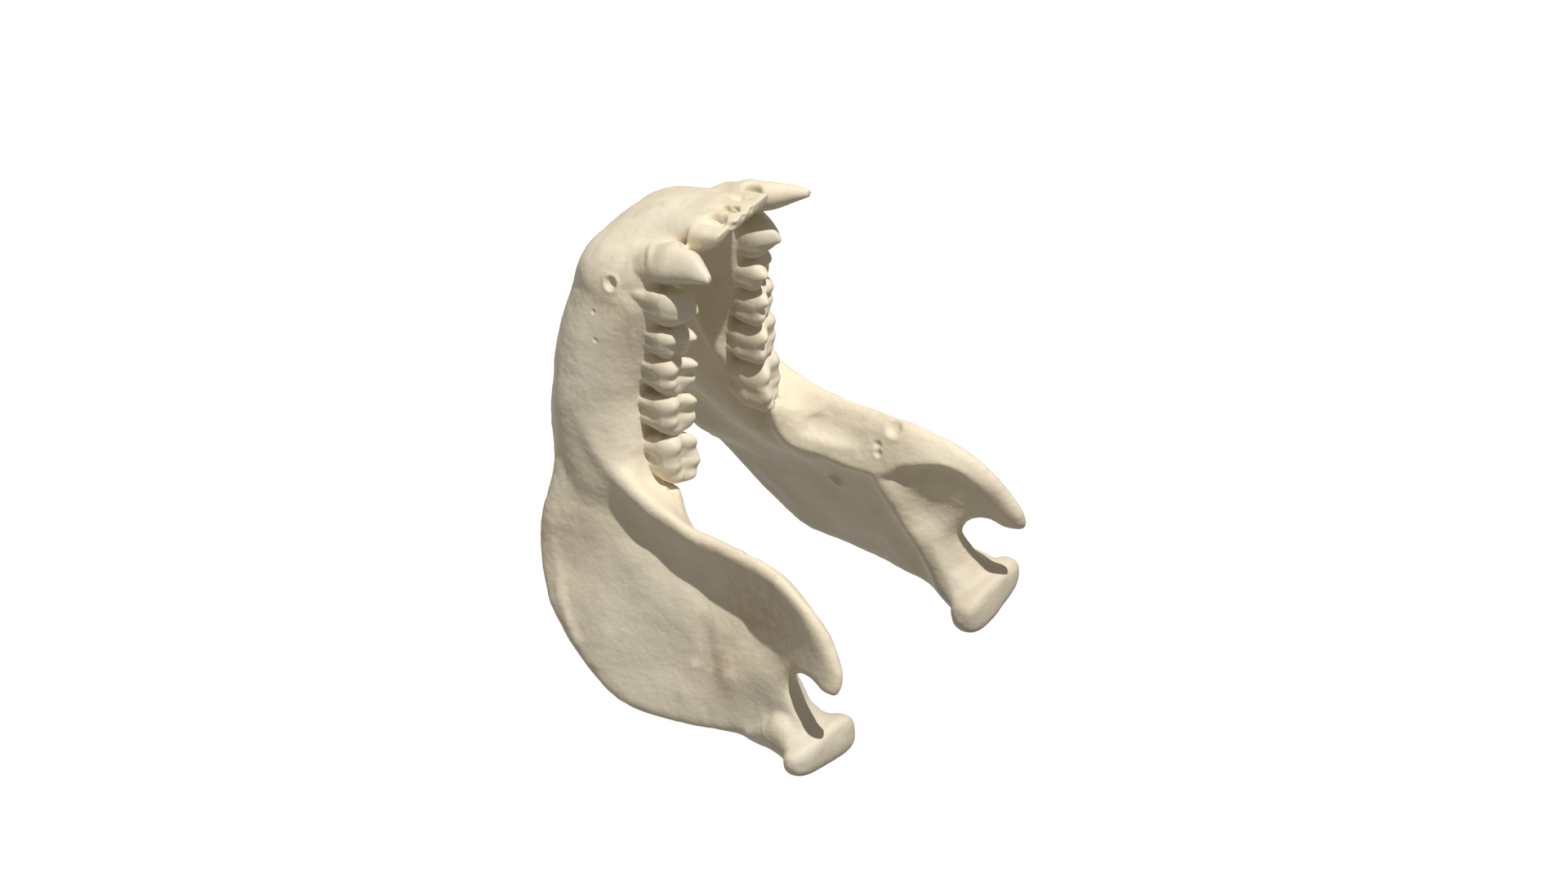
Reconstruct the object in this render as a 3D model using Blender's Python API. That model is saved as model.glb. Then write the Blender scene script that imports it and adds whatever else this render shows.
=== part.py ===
"""A male gorilla's lower jaw at life size, resting on its base with the teeth up.

The bone is one fused piece. It is modelled whole, then parted by thin cuts into the lengths that a person
would name: the front with the incisors and canines, the two bodies with the cheek teeth, and the two rami.
X runs to the jaw's left, Y to the back and Z up. Sizes are in millimetres until the last step.
"""

import math

import bmesh
import bpy
import numpy as np
from mathutils import Matrix
from mathutils.geometry import delaunay_2d_cdt

MM = 0.001
# The middle of the bottom of the jaw's box, which becomes the origin
BOX_FOOT = (0.0, -5.29, 0.83)

# How finely the skin is made, and how many triangles the whole bone has before it is parted
FORM_VOXEL = 0.9
SOFTEN_ROUNDS = 4
FACES_IN_ALL = 16000
LOFT_STEP = 1.5

# Where the bone is parted: beside the chin's shelf, behind the canines, and in front of the rami. The last
# two are planes, each given by its y at z = 0 and by how much y it gains for each millimetre of height.
CUT_GAP = 0.3
CHIN_CUT_X = 13.0
FRONT_CUT = (-75.6, 0.0)
RAMUS_CUT = (25.0, -0.3)
FAR_OUT = 150.0
SMALLEST_EDGE = 0.02

# The body of the jaw. Each wall is given at these heights, for the midline at the front and along one leg.
HEIGHTS = (0.0, 9.0, 18.0, 30.0, 42.0, 54.0)
FRONT_OUTER_Y = (-60.0, -75.2, -83.8, -91.0, -94.8, -98.0)
FRONT_INNER_Y = (-45.0, -41.0, -45.0, -58.0, -72.0, -87.0)
FRONT_BASE, FRONT_TOP = 0.8, 64.0
OUTER_ARC_END_Y, INNER_ARC_END_Y = -66.0, -46.0
ARC_SQUARENESS = (2.0, 2.4, 2.0, 1.6, 1.7, 2.3)
# y, base, top, outer x at each height, inner x at each height
LEG = (
    (-66.0, 3.6, 49.0, (14.0, 23.6, 29.6, 33.0, 33.0, 31.0), (12.0, 12.0, 13.0, 15.0, 17.5, 20.0)),
    (-48.0, 1.4, 43.4, (26.0, 33.8, 36.9, 37.0, 34.8, 32.5), (19.0, 16.0, 14.5, 15.0, 16.5, 18.5)),
    (-28.0, 0.8, 39.0, (33.8, 40.0, 41.2, 39.6, 35.4, 33.0), (25.0, 21.0, 18.5, 17.0, 17.0, 18.5)),
    (-8.0, 1.2, 40.6, (36.8, 42.2, 43.8, 43.4, 41.2, 38.0), (30.0, 25.0, 21.0, 19.0, 18.5, 19.5)),
    (8.0, 2.6, 47.6, (39.6, 43.4, 45.4, 46.0, 45.6, 43.4), (33.0, 29.0, 26.0, 23.0, 21.5, 22.5)),
    (20.0, 2.4, 51.4, (42.0, 44.8, 45.6, 45.8, 45.6, 44.8), (38.0, 35.0, 32.0, 28.5, 26.5, 27.0)),
    (30.0, 1.6, 53.0, (44.6, 46.0, 46.4, 46.4, 46.2, 45.6), (39.8, 38.8, 37.6, 35.5, 33.5, 32.5)),
    (42.0, 2.2, 55.0, (47.6, 48.4, 48.6, 48.6, 48.4, 48.0), (42.8, 43.2, 43.4, 43.4, 43.2, 42.8)),
    (50.0, 5.0, 50.0, (50.8, 50.6, 50.2, 49.8, 49.4, 49.0), (48.4, 48.4, 48.0, 47.6, 47.0, 46.6)),
)
WALL_ROUNDING = 3.2

# The ramus: the middle of its edge, from the front of the root round the coronoid, notch, neck and angle
RAMUS_EDGE = (
    (38.0, -12.0, 22.0),
    (41.0, -4.0, 36.0),
    (43.6, 4.0, 50.0),
    (45.4, 9.4, 67.0),
    (46.2, 10.8, 84.0),
    (47.3, 12.2, 100.0),
    (50.0, 17.4, 114.5),
    (52.4, 27.0, 127.4),
    (54.2, 37.5, 134.3),
    (55.6, 45.0, 136.5),
    (57.4, 50.5, 134.6),
    (56.4, 51.2, 128.5),
    (54.6, 48.8, 122.0),
    (52.2, 51.2, 114.6),
    (52.0, 57.5, 111.2),
    (54.0, 65.0, 113.8),
    (56.5, 72.5, 119.4),
    (56.0, 79.0, 120.0),
    (53.5, 86.0, 112.0),
    (52.6, 87.2, 102.0),
    (54.2, 85.8, 90.0),
    (57.2, 85.8, 72.0),
    (59.8, 86.0, 54.0),
    (59.2, 84.2, 38.0),
    (58.3, 77.0, 26.0),
    (57.0, 66.0, 15.5),
    (52.8, 53.4, 6.2),
    (49.0, 42.0, 1.8),
    (46.6, 32.0, 0.8),
    (43.4, 18.0, 3.0),
    (40.4, 4.0, 4.8),
    (37.5, -10.0, 8.0),
)
# Points of the plate's middle inside that edge: the hollow for the chewing muscle
RAMUS_MIDDLE = (
    (43.2, 20.0, 60.0),
    (43.6, 24.0, 76.0),
    (44.8, 30.0, 98.0),
    (44.6, 24.0, 30.0),
    (45.4, 33.0, 44.0),
    (45.0, 38.0, 84.0),
    (48.6, 41.0, 110.0),
    (48.6, 46.0, 62.0),
    (50.6, 58.0, 98.0),
    (54.2, 68.0, 60.0),
)
RAMUS_HALF_THICKNESS = 3.0
EDGE_ROUNDING = 5.0
OUTLINE_STEP = 1.5
PLATE_STIFFNESS = 6.0
# Ridges of the inner face: y, z, how far each stands in from the plate, and how far in front of it and
# behind it the bone falls away. The temporal crest runs from behind the last molar up to the coronoid, and
# the bone in front of it slopes evenly to the front edge. The pillar runs from that crest back to the neck.
TEMPORAL_CREST = (
    (4.0, 49.0, 14.0, 0.0, 16.0),
    (11.0, 50.5, 13.0, 0.0, 16.0),
    (20.0, 52.0, 12.0, 0.0, 15.0),
    (25.0, 57.0, 10.5, 0.0, 13.0),
    (26.0, 67.0, 8.2, 0.0, 10.0),
    (30.0, 79.0, 5.6, 0.0, 6.0),
    (30.0, 88.5, 4.4, 0.0, 4.5),
    (25.0, 95.0, 3.6, 0.0, 3.8),
    (22.4, 106.0, 3.0, 0.0, 3.2),
    (23.4, 116.0, 2.0, 0.0, 3.0),
    (30.5, 126.0, 0.4, 0.0, 3.0),
)
PILLAR = (
    (31.0, 86.0, 4.6, 5.0, 5.0),
    (44.0, 91.0, 5.4, 7.0, 6.0),
    (54.4, 95.5, 6.6, 9.0, 7.0),
    (62.0, 101.0, 7.8, 11.0, 8.0),
    (68.0, 105.5, 9.0, 14.0, 9.0),
    (76.0, 109.5, 10.0, 16.0, 9.0),
    (83.0, 114.0, 10.0, 16.0, 8.0),
)

# The joint: a bar across the top of the neck, and the neck's level sections
CONDYLE_INNER = (34.2, 82.0, 119.8)
CONDYLE_OUTER = (69.6, 79.4, 119.2)
CONDYLE_HALF_INNER = (7.4, 6.4)
CONDYLE_HALF_OUTER = (6.6, 5.6)
CONDYLE_SQUARENESS = 2.7
NECK = (
    (54.6, 82.6, 90.0, 2.2, 2.2),
    (53.8, 81.6, 96.0, 4.2, 4.0),
    (52.8, 79.4, 102.0, 7.4, 6.2),
    (51.8, 77.0, 107.0, 10.4, 8.2),
    (51.4, 77.4, 112.0, 12.4, 8.8),
    (51.4, 79.8, 118.0, 15.0, 7.2),
)

# Cheek teeth: centre, length and breadth, height of the neck and of the middle of the crown, how much lower
# the cheek side is, how far the root is forked, and the cusps as x, y, height of the tip and reach. The
# first and second cusps are joined by a ridge, and so are the third and fourth.
CHEEK_TEETH = {
    "p3": {
        "centre": (25.4, -67.2),
        "size": (14.4, 12.8),
        "heights": (46.4, 51.6),
        "tilt": 1.0,
        "fork": 0.3,
        "cusps": (
            (24.6, -72.0, 60.0, 6.2),
            (25.2, -68.2, 62.2, 6.6),
            (22.6, -62.8, 56.2, 3.8),
            (27.0, -62.2, 54.6, 3.6),
        ),
    },
    "p4": {
        "centre": (25.5, -52.8),
        "size": (12.8, 13.4),
        "heights": (46.0, 52.6),
        "tilt": 2.6,
        "fork": 0.5,
        "cusps": (
            (21.4, -54.0, 58.6, 4.0),
            (28.4, -56.0, 55.6, 4.6),
            (21.6, -49.2, 55.2, 3.0),
            (28.4, -50.4, 53.8, 3.4),
        ),
    },
    "m1": {
        "centre": (25.9, -38.5),
        "size": (15.4, 13.8),
        "heights": (45.2, 52.6),
        "tilt": 3.0,
        "fork": 1.0,
        "cusps": (
            (21.0, -42.6, 58.2, 3.8),
            (29.2, -43.6, 54.8, 4.2),
            (21.0, -35.8, 56.2, 3.5),
            (29.4, -37.6, 53.8, 3.8),
            (27.6, -33.4, 53.4, 2.8),
        ),
    },
    "m2": {
        "centre": (26.3, -22.3),
        "size": (16.8, 14.6),
        "heights": (44.4, 52.0),
        "tilt": 3.0,
        "fork": 1.0,
        "cusps": (
            (21.0, -26.6, 56.4, 3.9),
            (29.6, -28.4, 54.0, 4.4),
            (21.0, -19.0, 54.8, 3.7),
            (29.8, -21.8, 53.2, 4.0),
            (28.2, -16.6, 52.8, 3.0),
        ),
    },
    "m3": {
        "centre": (26.9, -3.4),
        "size": (20.2, 14.8),
        "heights": (44.4, 51.6),
        "tilt": 2.8,
        "fork": 0.8,
        "cusps": (
            (21.4, -9.4, 55.2, 4.0),
            (30.0, -10.8, 53.6, 4.5),
            (21.6, -1.2, 55.4, 3.9),
            (30.2, -3.4, 53.0, 4.2),
            (28.4, 3.2, 52.8, 3.2),
            (23.6, 4.8, 54.4, 3.0),
        ),
    },
}
ROOT_DEPTH = 10.0
ROOT_OUTWARD = 0.6
NECK_LEAN = 1.4
TOOTH_SKEW = 1.5
CROWN_SQUARENESS = 2.7
CROWN_EDGE_DROP = 3.0
CUSP_RIDGE_DROP = 1.6
CUSP_RIDGE_REACH = 2.0
FISSURE_DEPTH = 0.6
# x, y and z of the canine's middle line, and its half length and half width there
CANINE = (
    (16.0, -66.0, 12.0, 4.0, 3.6),
    (18.2, -71.4, 24.0, 5.4, 4.6),
    (20.4, -77.8, 36.0, 6.8, 5.8),
    (22.0, -82.4, 46.0, 7.8, 6.4),
    (23.4, -86.0, 56.0, 7.0, 5.5),
    (25.2, -87.6, 63.0, 5.6, 4.7),
    (28.0, -88.8, 69.0, 3.6, 3.2),
    (30.2, -89.4, 74.2, 1.4, 1.3),
)
CANINE_TURN = math.radians(50.0)
# x, y and height of the edge, width
INCISORS = ((4.1, -97.4, 69.8, 8.0), (12.2, -94.8, 67.8, 8.4))
INCISOR_FOOT = 54.0

# Places where the forms are melted together: centre, reach and rounds of smoothing
MELTS = (
    ((45.0, 8.0, 22.0), 26.0, 40),
    ((48.0, 30.0, 40.0), 18.0, 30),
    ((51.0, 82.0, 111.0), 20.0, 14),
    ((58.0, 82.0, 98.0), 16.0, 30),
    ((56.0, 76.0, 117.0), 8.0, 18),
    ((16.0, -60.0, 15.0), 20.0, 16),
    ((47.0, 46.0, 6.0), 14.0, 24),
    ((23.0, -87.0, 42.0), 12.0, 8),
    ((9.0, -97.0, 57.0), 12.0, 8),
)

# Ridges and hollows worked into the skin: a line of points, its reach and the heights along it
RELIEF = {
    "oblique line": (((42.5, -22.0, 20.0), (45.0, -9.0, 27.0), (46.0, 0.0, 39.0)), 4.0, (0.0, 1.0, 0.6)),
    "retromolar trough": (
        ((35.0, 10.0, 54.0), (37.5, 18.0, 62.0), (41.0, 21.0, 74.0)),
        5.0,
        (-0.8, -1.4, -1.0),
    ),
}

# Colour of each length of bone, in linear red, green and blue
BONE_COLOURS = {
    "symphysis": (0.72, 0.61, 0.45),
    "left_body": (0.66, 0.56, 0.42),
    "right_body": (0.66, 0.56, 0.42),
    "left_ramus": (0.60, 0.52, 0.40),
    "right_ramus": (0.60, 0.52, 0.40),
}
BONE_ROUGHNESS = 0.62


def smoothstep(value, low, high):
    t = np.clip((value - low) / (high - low), 0.0, 1.0)
    return t * t * (3.0 - 2.0 * t)


def curve_through(points, step, closed=False):
    """A Catmull-Rom curve through the points, with a point about every step."""
    points = np.asarray(points, float)
    count = len(points)
    out = []
    for i in range(count if closed else count - 1):
        if closed:
            a, b, c, d = (points[(i + k) % count] for k in (-1, 0, 1, 2))
        else:
            a, b, c, d = (points[min(max(i + k, 0), count - 1)] for k in (-1, 0, 1, 2))
        pieces = max(1, int(round(np.linalg.norm(c - b) / step)))
        for t in np.arange(pieces) / pieces:
            bend = (2 * a - 5 * b + 4 * c - d) * t**2 + (3 * b - 3 * c + d - a) * t**3
            out.append(0.5 * (2 * b + (c - a) * t + bend))
    if not closed:
        out.append(points[-1])
    return np.array(out)


def smooth_table(positions, values, at):
    """Reads a table of values by a smooth curve that doesn't overshoot."""
    positions = np.asarray(positions, float)
    values = np.asarray(values, float)
    slopes = np.gradient(values, positions)
    i = int(np.clip(np.searchsorted(positions, at) - 1, 0, len(positions) - 2))
    step = positions[i + 1] - positions[i]
    t = np.clip((at - positions[i]) / step, 0.0, 1.0)
    rise = (values[i + 1] - values[i]) / step
    limits = [np.clip(s, min(0.0, 3 * rise), max(0.0, 3 * rise)) for s in (slopes[i], slopes[i + 1])]
    return (
        (2 * t**3 - 3 * t**2 + 1) * values[i]
        + (t**3 - 2 * t**2 + t) * step * limits[0]
        + (3 * t**2 - 2 * t**3) * values[i + 1]
        + (t**3 - t**2) * step * limits[1]
    )


def line_distance(points, line):
    """Distance of each point to an open line, and how far along the line the nearest spot is, 0 to 1."""
    points = np.asarray(points, float)
    line = np.asarray(line, float)
    lengths = np.linalg.norm(line[1:] - line[:-1], axis=1)
    ends = np.concatenate([[0.0], np.cumsum(lengths)])
    best = np.full(len(points), np.inf)
    along = np.zeros(len(points))
    for a, b, start, length in zip(line[:-1], line[1:], ends[:-1], lengths):
        t = np.clip(((points - a) @ (b - a)) / length**2, 0.0, 1.0)
        d = np.linalg.norm(points - a - t[:, None] * (b - a), axis=1)
        near = d < best
        best = np.where(near, d, best)
        along = np.where(near, (start + t * length) / ends[-1], along)
    return best, along


def superellipse(angle, half_x, half_y, power):
    c, s = math.cos(angle), math.sin(angle)
    r = (abs(c / half_x) ** power + abs(s / half_y) ** power) ** (-1.0 / power)
    return r * c, r * s


def round_angles(count):
    return np.linspace(0.0, 2 * math.pi, count + 1)[:-1]


def new_object(name, vertices, faces):
    """A closed mesh whose faces look outward."""
    mesh = bpy.data.meshes.new(name)
    mesh.from_pydata([tuple(map(float, v)) for v in vertices], [], [tuple(map(int, f)) for f in faces])
    obj = bpy.data.objects.new(name, mesh)
    bpy.context.scene.collection.objects.link(obj)
    work = bmesh.new()
    work.from_mesh(mesh)
    bmesh.ops.delete(work, geom=[v for v in work.verts if not v.link_faces], context="VERTS")
    bmesh.ops.recalc_face_normals(work, faces=work.faces)
    if work.calc_volume(signed=True) < 0:
        bmesh.ops.reverse_faces(work, faces=work.faces)
    work.to_mesh(mesh)
    work.free()
    return obj


def loft(name, rings):
    """A closed body through rings of equal point counts, capped at both ends."""
    rings = np.asarray(rings, float)
    count, around, _ = rings.shape
    faces = []
    for i in range(count - 1):
        for j in range(around):
            k = (j + 1) % around
            faces.append((i * around + j, i * around + k, (i + 1) * around + k, (i + 1) * around + j))
    vertices = list(rings.reshape(-1, 3))
    for ring in (0, count - 1):
        centre = len(vertices)
        vertices.append(rings[ring].mean(axis=0))
        for j in range(around):
            faces.append((ring * around + j, ring * around + (j + 1) % around, centre))
    return new_object(name, vertices, faces)


# The body of the jaw


def wall_point(q, z, outer):
    """A point of one wall. q is 0 at the midline, 1 where the straight leg starts, 2 at its end."""
    column = 3 if outer else 4
    arc_end = OUTER_ARC_END_Y if outer else INNER_ARC_END_Y
    if q < 1.0:
        front = smooth_table(HEIGHTS, FRONT_OUTER_Y if outer else FRONT_INNER_Y, z)
        side = smooth_table(HEIGHTS, LEG[0][column] if outer else LEG[1][column], z)
        power = 2.0 / smooth_table(HEIGHTS, ARC_SQUARENESS, z)
        turn = q * math.pi / 2
        ahead = (front - arc_end) * max(0.0, math.cos(turn)) ** power
        return side * math.sin(turn) ** power, arc_end + ahead
    y = arc_end + (q - 1.0) * (LEG[-1][0] - arc_end)
    xs = [smooth_table(HEIGHTS, row[column], z) for row in LEG]
    return smooth_table([row[0] for row in LEG], xs, y), y


def body_heights(q):
    """Base and top of the body of the jaw at q."""
    if q < 1.0:
        base = FRONT_BASE + smoothstep(q, 0.0, 1.0) * (LEG[0][1] - FRONT_BASE)
        top = FRONT_TOP + smoothstep(q, 0.18, 0.56) * (LEG[0][2] - FRONT_TOP)
        return base, top
    y = OUTER_ARC_END_Y + (q - 1.0) * (LEG[-1][0] - OUTER_ARC_END_Y)
    ys = [row[0] for row in LEG]
    return tuple(smooth_table(ys, [row[k] for row in LEG], y) for k in (1, 2))


def make_body():
    qs = np.concatenate([np.linspace(0.0, 1.0, 33), np.linspace(1.0, 2.0, 65)[1:]])
    up = (1.0 - np.cos(np.linspace(0.0, math.pi, 33))) / 2
    rings = []
    for side, q in [(-1, q) for q in qs[::-1]] + [(1, q) for q in qs[1:]]:
        base, top = body_heights(q)
        ring = []
        for face, heights in ((1, up), (-1, up[::-1][1:-1])):
            for v in heights:
                z = base + v * (top - base)
                outer = np.array(wall_point(q, z, True))
                inner = np.array(wall_point(q, z, False))
                bulge = max(0.0, 1.0 - abs(2.0 * v - 1.0) ** WALL_ROUNDING) ** (1.0 / WALL_ROUNDING)
                x, y = (outer + inner) / 2 + face * (outer - inner) / 2 * bulge
                ring.append((side * x, y, z))
        rings.append(ring)
    return loft("body", rings)


# The rami


def thin_plate(points, values):
    """A smooth surface through scattered values, as a function of (y, z)."""
    points = np.asarray(points, float)
    count = len(points)

    def kernel(r):
        return np.where(r > 0.0, r**2 * np.log(np.maximum(r, 1e-9)), 0.0)

    r = np.linalg.norm(points[:, None] - points[None], axis=2)
    flat = np.hstack([np.ones((count, 1)), points])
    system = np.block([[kernel(r) + PLATE_STIFFNESS * np.eye(count), flat], [flat.T, np.zeros((3, 3))]])
    weights = np.linalg.solve(system, np.concatenate([values, np.zeros(3)]))

    def surface(at):
        r = np.linalg.norm(at[:, None] - points[None], axis=2)
        return kernel(r) @ weights[:count] + weights[count] + at @ weights[count + 1 :]

    return surface


def ridge_height(points, ridge, front_edge=None):
    """How far the inner face stands in beside a ridge. In front it falls, or slopes to an edge if given."""
    rows = curve_through(ridge, OUTLINE_STEP)
    distance, along = line_distance(points, rows[:, :2])
    ends = np.concatenate([[0.0], np.cumsum(np.linalg.norm(np.diff(rows[:, :2], axis=0), axis=1))])
    stops = ends / ends[-1]

    def row_at(share):
        share = np.clip(share, 0.0, 1.0)
        return np.column_stack([np.interp(share, stops, rows[:, k]) for k in range(rows.shape[1])])

    nearest = row_at(along)
    way = row_at(along + 0.01)[:, :2] - row_at(along - 0.01)[:, :2]
    away = points - nearest[:, :2]
    in_front = way[:, 0] * away[:, 1] - way[:, 1] * away[:, 0] > 0
    if front_edge is None:
        before = np.exp(-((distance / nearest[:, 3]) ** 2))
    else:
        to_edge = line_distance(points, front_edge)[0]
        before = to_edge / np.maximum(to_edge + distance, 1e-6)
    behind = np.exp(-((distance / nearest[:, 4]) ** 2))
    return nearest[:, 2] * np.where(in_front, before, behind)


def make_ramus(side):
    """A plate between two curved faces that meet along its edge."""
    edge = curve_through(RAMUS_EDGE, OUTLINE_STEP, closed=True)
    control = np.array(RAMUS_EDGE + RAMUS_MIDDLE)
    middle = thin_plate(control[:, 1:], control[:, 0])
    outline = edge[:, 1:]
    count = len(outline)
    loop = np.vstack([outline, outline[:1]])
    ys = np.arange(outline[:, 0].min(), outline[:, 0].max(), OUTLINE_STEP)
    zs = np.arange(outline[:, 1].min(), outline[:, 1].max(), OUTLINE_STEP)
    grid = np.array([(y, z) for y in ys for z in zs])
    grid = grid[line_distance(grid, loop)[0] > 0.6 * OUTLINE_STEP]
    flat = [tuple(p) for p in np.vstack([outline, grid])]
    edges = [(i, (i + 1) % count) for i in range(count)]
    points, _, faces, _, _, _ = delaunay_2d_cdt(flat, edges, [], 1, 1e-4)
    points = np.array([tuple(p) for p in points])
    gap = line_distance(points, loop)[0]
    gap[gap < 1e-3] = 0.0
    inward = np.minimum(gap / EDGE_ROUNDING, 1.0)
    middle_x = middle(points)
    half = RAMUS_HALF_THICKNESS * np.sqrt(1.0 - (1.0 - inward) ** 2)
    front_edge = outline[: np.argmax(outline[:, 1]) + 1]
    crest = np.maximum(ridge_height(points, TEMPORAL_CREST, front_edge), ridge_height(points, PILLAR))
    crest *= inward
    sheets = [np.column_stack([side * (middle_x + lift), points]) for lift in (half, -half - crest)]
    twin = np.where(gap == 0.0, np.arange(len(points)), np.arange(len(points)) + len(points))
    back = [tuple(int(twin[i]) for i in f[::-1]) for f in faces]
    return new_object("ramus", np.vstack(sheets), [tuple(f) for f in faces] + back)


def make_condyle(side):
    """The joint surface: a bar across the neck, thicker at its inner end."""
    inner = np.array(CONDYLE_INNER + CONDYLE_HALF_INNER)
    outer = np.array(CONDYLE_OUTER + CONDYLE_HALF_OUTER)
    rings = []
    for t in np.linspace(0.0, 1.0, 33):
        x, y, z, deep, high = inner + t * (outer - inner)
        swell = max(1e-3, 1.0 - abs(2.0 * t - 1.0) ** 4.0) ** (1.0 / 2.2)
        spots = [superellipse(a, deep * swell, high * swell, CONDYLE_SQUARENESS) for a in round_angles(40)]
        rings.append([(side * x, y + dy, z + dz) for dy, dz in spots])
    return loft("condyle", rings)


def make_neck(side):
    rings = []
    for x, y, z, half_x, half_y in curve_through(NECK, LOFT_STEP):
        spots = [superellipse(a, half_x, half_y, 2.2) for a in round_angles(40)]
        rings.append([(side * (x + dx), y + dy, z) for dx, dy in spots])
    return loft("neck", rings)


# The teeth


def crown_height(xs, ys, scale, centre, size, floor, tilt, cusps):
    """Height of a crown's top: a floor that leans to the cheek, cusps, fissures and a rolled edge."""
    length, breadth = size
    across = (xs - centre[0]) / (breadth / 2)
    along = (ys - centre[1] + TOOTH_SKEW * across) / (length / 2)
    base = floor - tilt * across / 2
    swell = np.zeros(len(xs))
    for x, y, tip, reach in cusps:
        distance = np.hypot(xs - x, ys - y)
        swell += (np.maximum(tip - base, 0.0) * np.exp(-((distance / reach) ** 2))) ** 3
    for first, second in ((cusps[0], cusps[1]), (cusps[2], cusps[3])):
        distance, share = line_distance(np.column_stack([xs, ys]), [first[:2], second[:2]])
        ridge = first[2] + share * (second[2] - first[2]) - CUSP_RIDGE_DROP
        swell += (np.maximum(ridge - base, 0.0) * np.exp(-((distance / CUSP_RIDGE_REACH) ** 2))) ** 3
    fissures = np.exp(-((across / 0.16) ** 2)) + np.exp(-((along / 0.14) ** 2))
    drop = CROWN_EDGE_DROP * scale ** (7.0 - 3.5 * across)
    return base + np.cbrt(swell) - FISSURE_DEPTH * fissures * (1.0 - scale**4) - drop


def make_cheek_tooth(side, centre, size, heights, tilt, fork, cusps):
    """Roots that part below the neck, a crown wall, and a top that swells into cusps."""
    length, breadth = size
    neck, floor = heights
    angles = round_angles(96)
    outline = np.array([superellipse(a, breadth / 2, length / 2, CROWN_SQUARENESS) for a in angles])
    skew = TOOTH_SKEW * outline[:, 0] / (breadth / 2)
    # The groove between two roots runs down the middle of the tooth's cheek and tongue sides
    groove = np.exp(-((np.sin(angles) / 0.3) ** 2))
    # Height, share of the breadth, share of the length, and depth of the groove
    levels = (
        (neck - ROOT_DEPTH, 0.68, 0.68, 0.36),
        (neck - 4.5, 0.86, 0.79, 0.32),
        (neck - 2.0, 0.92, 0.85, 0.24),
        (neck - 0.4, 0.95, 0.91, 0.14),
        (neck + 0.8, 0.98, 0.97, 0.07),
    )
    rings = []
    for z, across, along, depth in levels:
        outward = ROOT_OUTWARD * (neck + 0.8 - z) / ROOT_DEPTH
        xs = outline[:, 0] * across * (1.0 - fork * depth * groove) + centre[0] + outward
        ys = outline[:, 1] * along - skew * across + centre[1]
        zs = z + NECK_LEAN * outline[:, 0] / (breadth / 2)
        rings.append([(side * x, y, z) for x, y, z in zip(xs, ys, zs)])
    for scale in (1.0, 0.99, 0.97, 0.94, 0.9, 0.85, 0.78, 0.7, 0.61, 0.51, 0.4, 0.29, 0.17, 0.06):
        xs = outline[:, 0] * scale * (1.0 - 0.04 * fork * groove) + centre[0]
        ys = (outline[:, 1] - skew) * scale + centre[1]
        tops = crown_height(xs, ys, scale, centre, size, floor, tilt, cusps)
        rings.append([(side * x, y, z) for x, y, z in zip(xs, ys, tops)])
    return loft("cheek tooth", rings)


def make_canine(side):
    rings = []
    for x, y, z, long, wide in curve_through(CANINE, LOFT_STEP):
        ring = []
        for a in round_angles(48):
            u, v = superellipse(a, long, wide, 2.3)
            dx = u * math.cos(CANINE_TURN) - v * math.sin(CANINE_TURN)
            dy = u * math.sin(CANINE_TURN) + v * math.cos(CANINE_TURN)
            ring.append((side * (x + dx), y + dy, z))
        rings.append(ring)
    return loft("canine", rings)


def make_incisor(side, x, y, edge, width):
    """A short chisel crown whose front is flush with the bone below it."""
    rings = []
    for t in np.linspace(0.0, 1.0, 33):
        z = INCISOR_FOOT + t * (edge - INCISOR_FOOT)
        worn = math.sqrt(1.0 - (max(0.0, t - 0.84) / 0.162) ** 2)
        half_x = width * (0.42 + 0.12 * worn)
        half_y = 4.2 * (1.0 - t) ** 0.7 + 0.5 + 1.3 * worn
        centre = y + half_y + 1.0 - 2.6 * t**0.7
        spots = [superellipse(a, half_x, half_y, 3.2) for a in round_angles(36)]
        rings.append([(side * (x + dx), centre + dy, z) for dx, dy in spots])
    return loft("incisor", rings)


# Joining and shaping


def apply_modifiers(obj):
    graph = bpy.context.evaluated_depsgraph_get()
    mesh = bpy.data.meshes.new_from_object(obj.evaluated_get(graph))
    obj.modifiers.clear()
    obj.data = mesh


def join_forms(base, others):
    """Unites closed bodies into one."""
    pieces = bpy.data.collections.new("pieces")
    bpy.context.scene.collection.children.link(pieces)
    for obj in others:
        pieces.objects.link(obj)
    union = base.modifiers.new("one body", "BOOLEAN")
    union.operation = "UNION"
    union.operand_type = "COLLECTION"
    union.collection = pieces
    union.solver = "MANIFOLD"
    apply_modifiers(base)
    for obj in others:
        bpy.data.objects.remove(obj)
    bpy.data.collections.remove(pieces)
    return base


def soften(obj):
    """Makes an even skin and melts the lines where the forms meet."""
    remesh = obj.modifiers.new("one skin", "REMESH")
    remesh.mode = "VOXEL"
    remesh.voxel_size = FORM_VOXEL
    smooth = obj.modifiers.new("soften", "SMOOTH")
    smooth.iterations = SOFTEN_ROUNDS
    apply_modifiers(obj)
    places = folded_places(obj)
    for centre, reach, rounds in MELTS:
        group = obj.vertex_groups.new(name="melt")
        distance = np.linalg.norm(places - np.array(centre), axis=1)
        weight = 1.0 - smoothstep(distance, 0.5 * reach, reach)
        for i in np.flatnonzero(weight > 0.0):
            group.add([int(i)], float(weight[i]), "REPLACE")
        melt = obj.modifiers.new("melt", "SMOOTH")
        melt.iterations = rounds
        melt.vertex_group = group.name
        apply_modifiers(obj)
        obj.vertex_groups.clear()


def read_vertices(obj, value):
    out = np.empty(len(obj.data.vertices) * 3)
    obj.data.vertices.foreach_get(value, out)
    return out.reshape(-1, 3)


def folded_places(obj):
    """The vertices' places, with the right side mirrored onto the left."""
    places = read_vertices(obj, "co")
    places[:, 0] = np.abs(places[:, 0])
    return places


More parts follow.
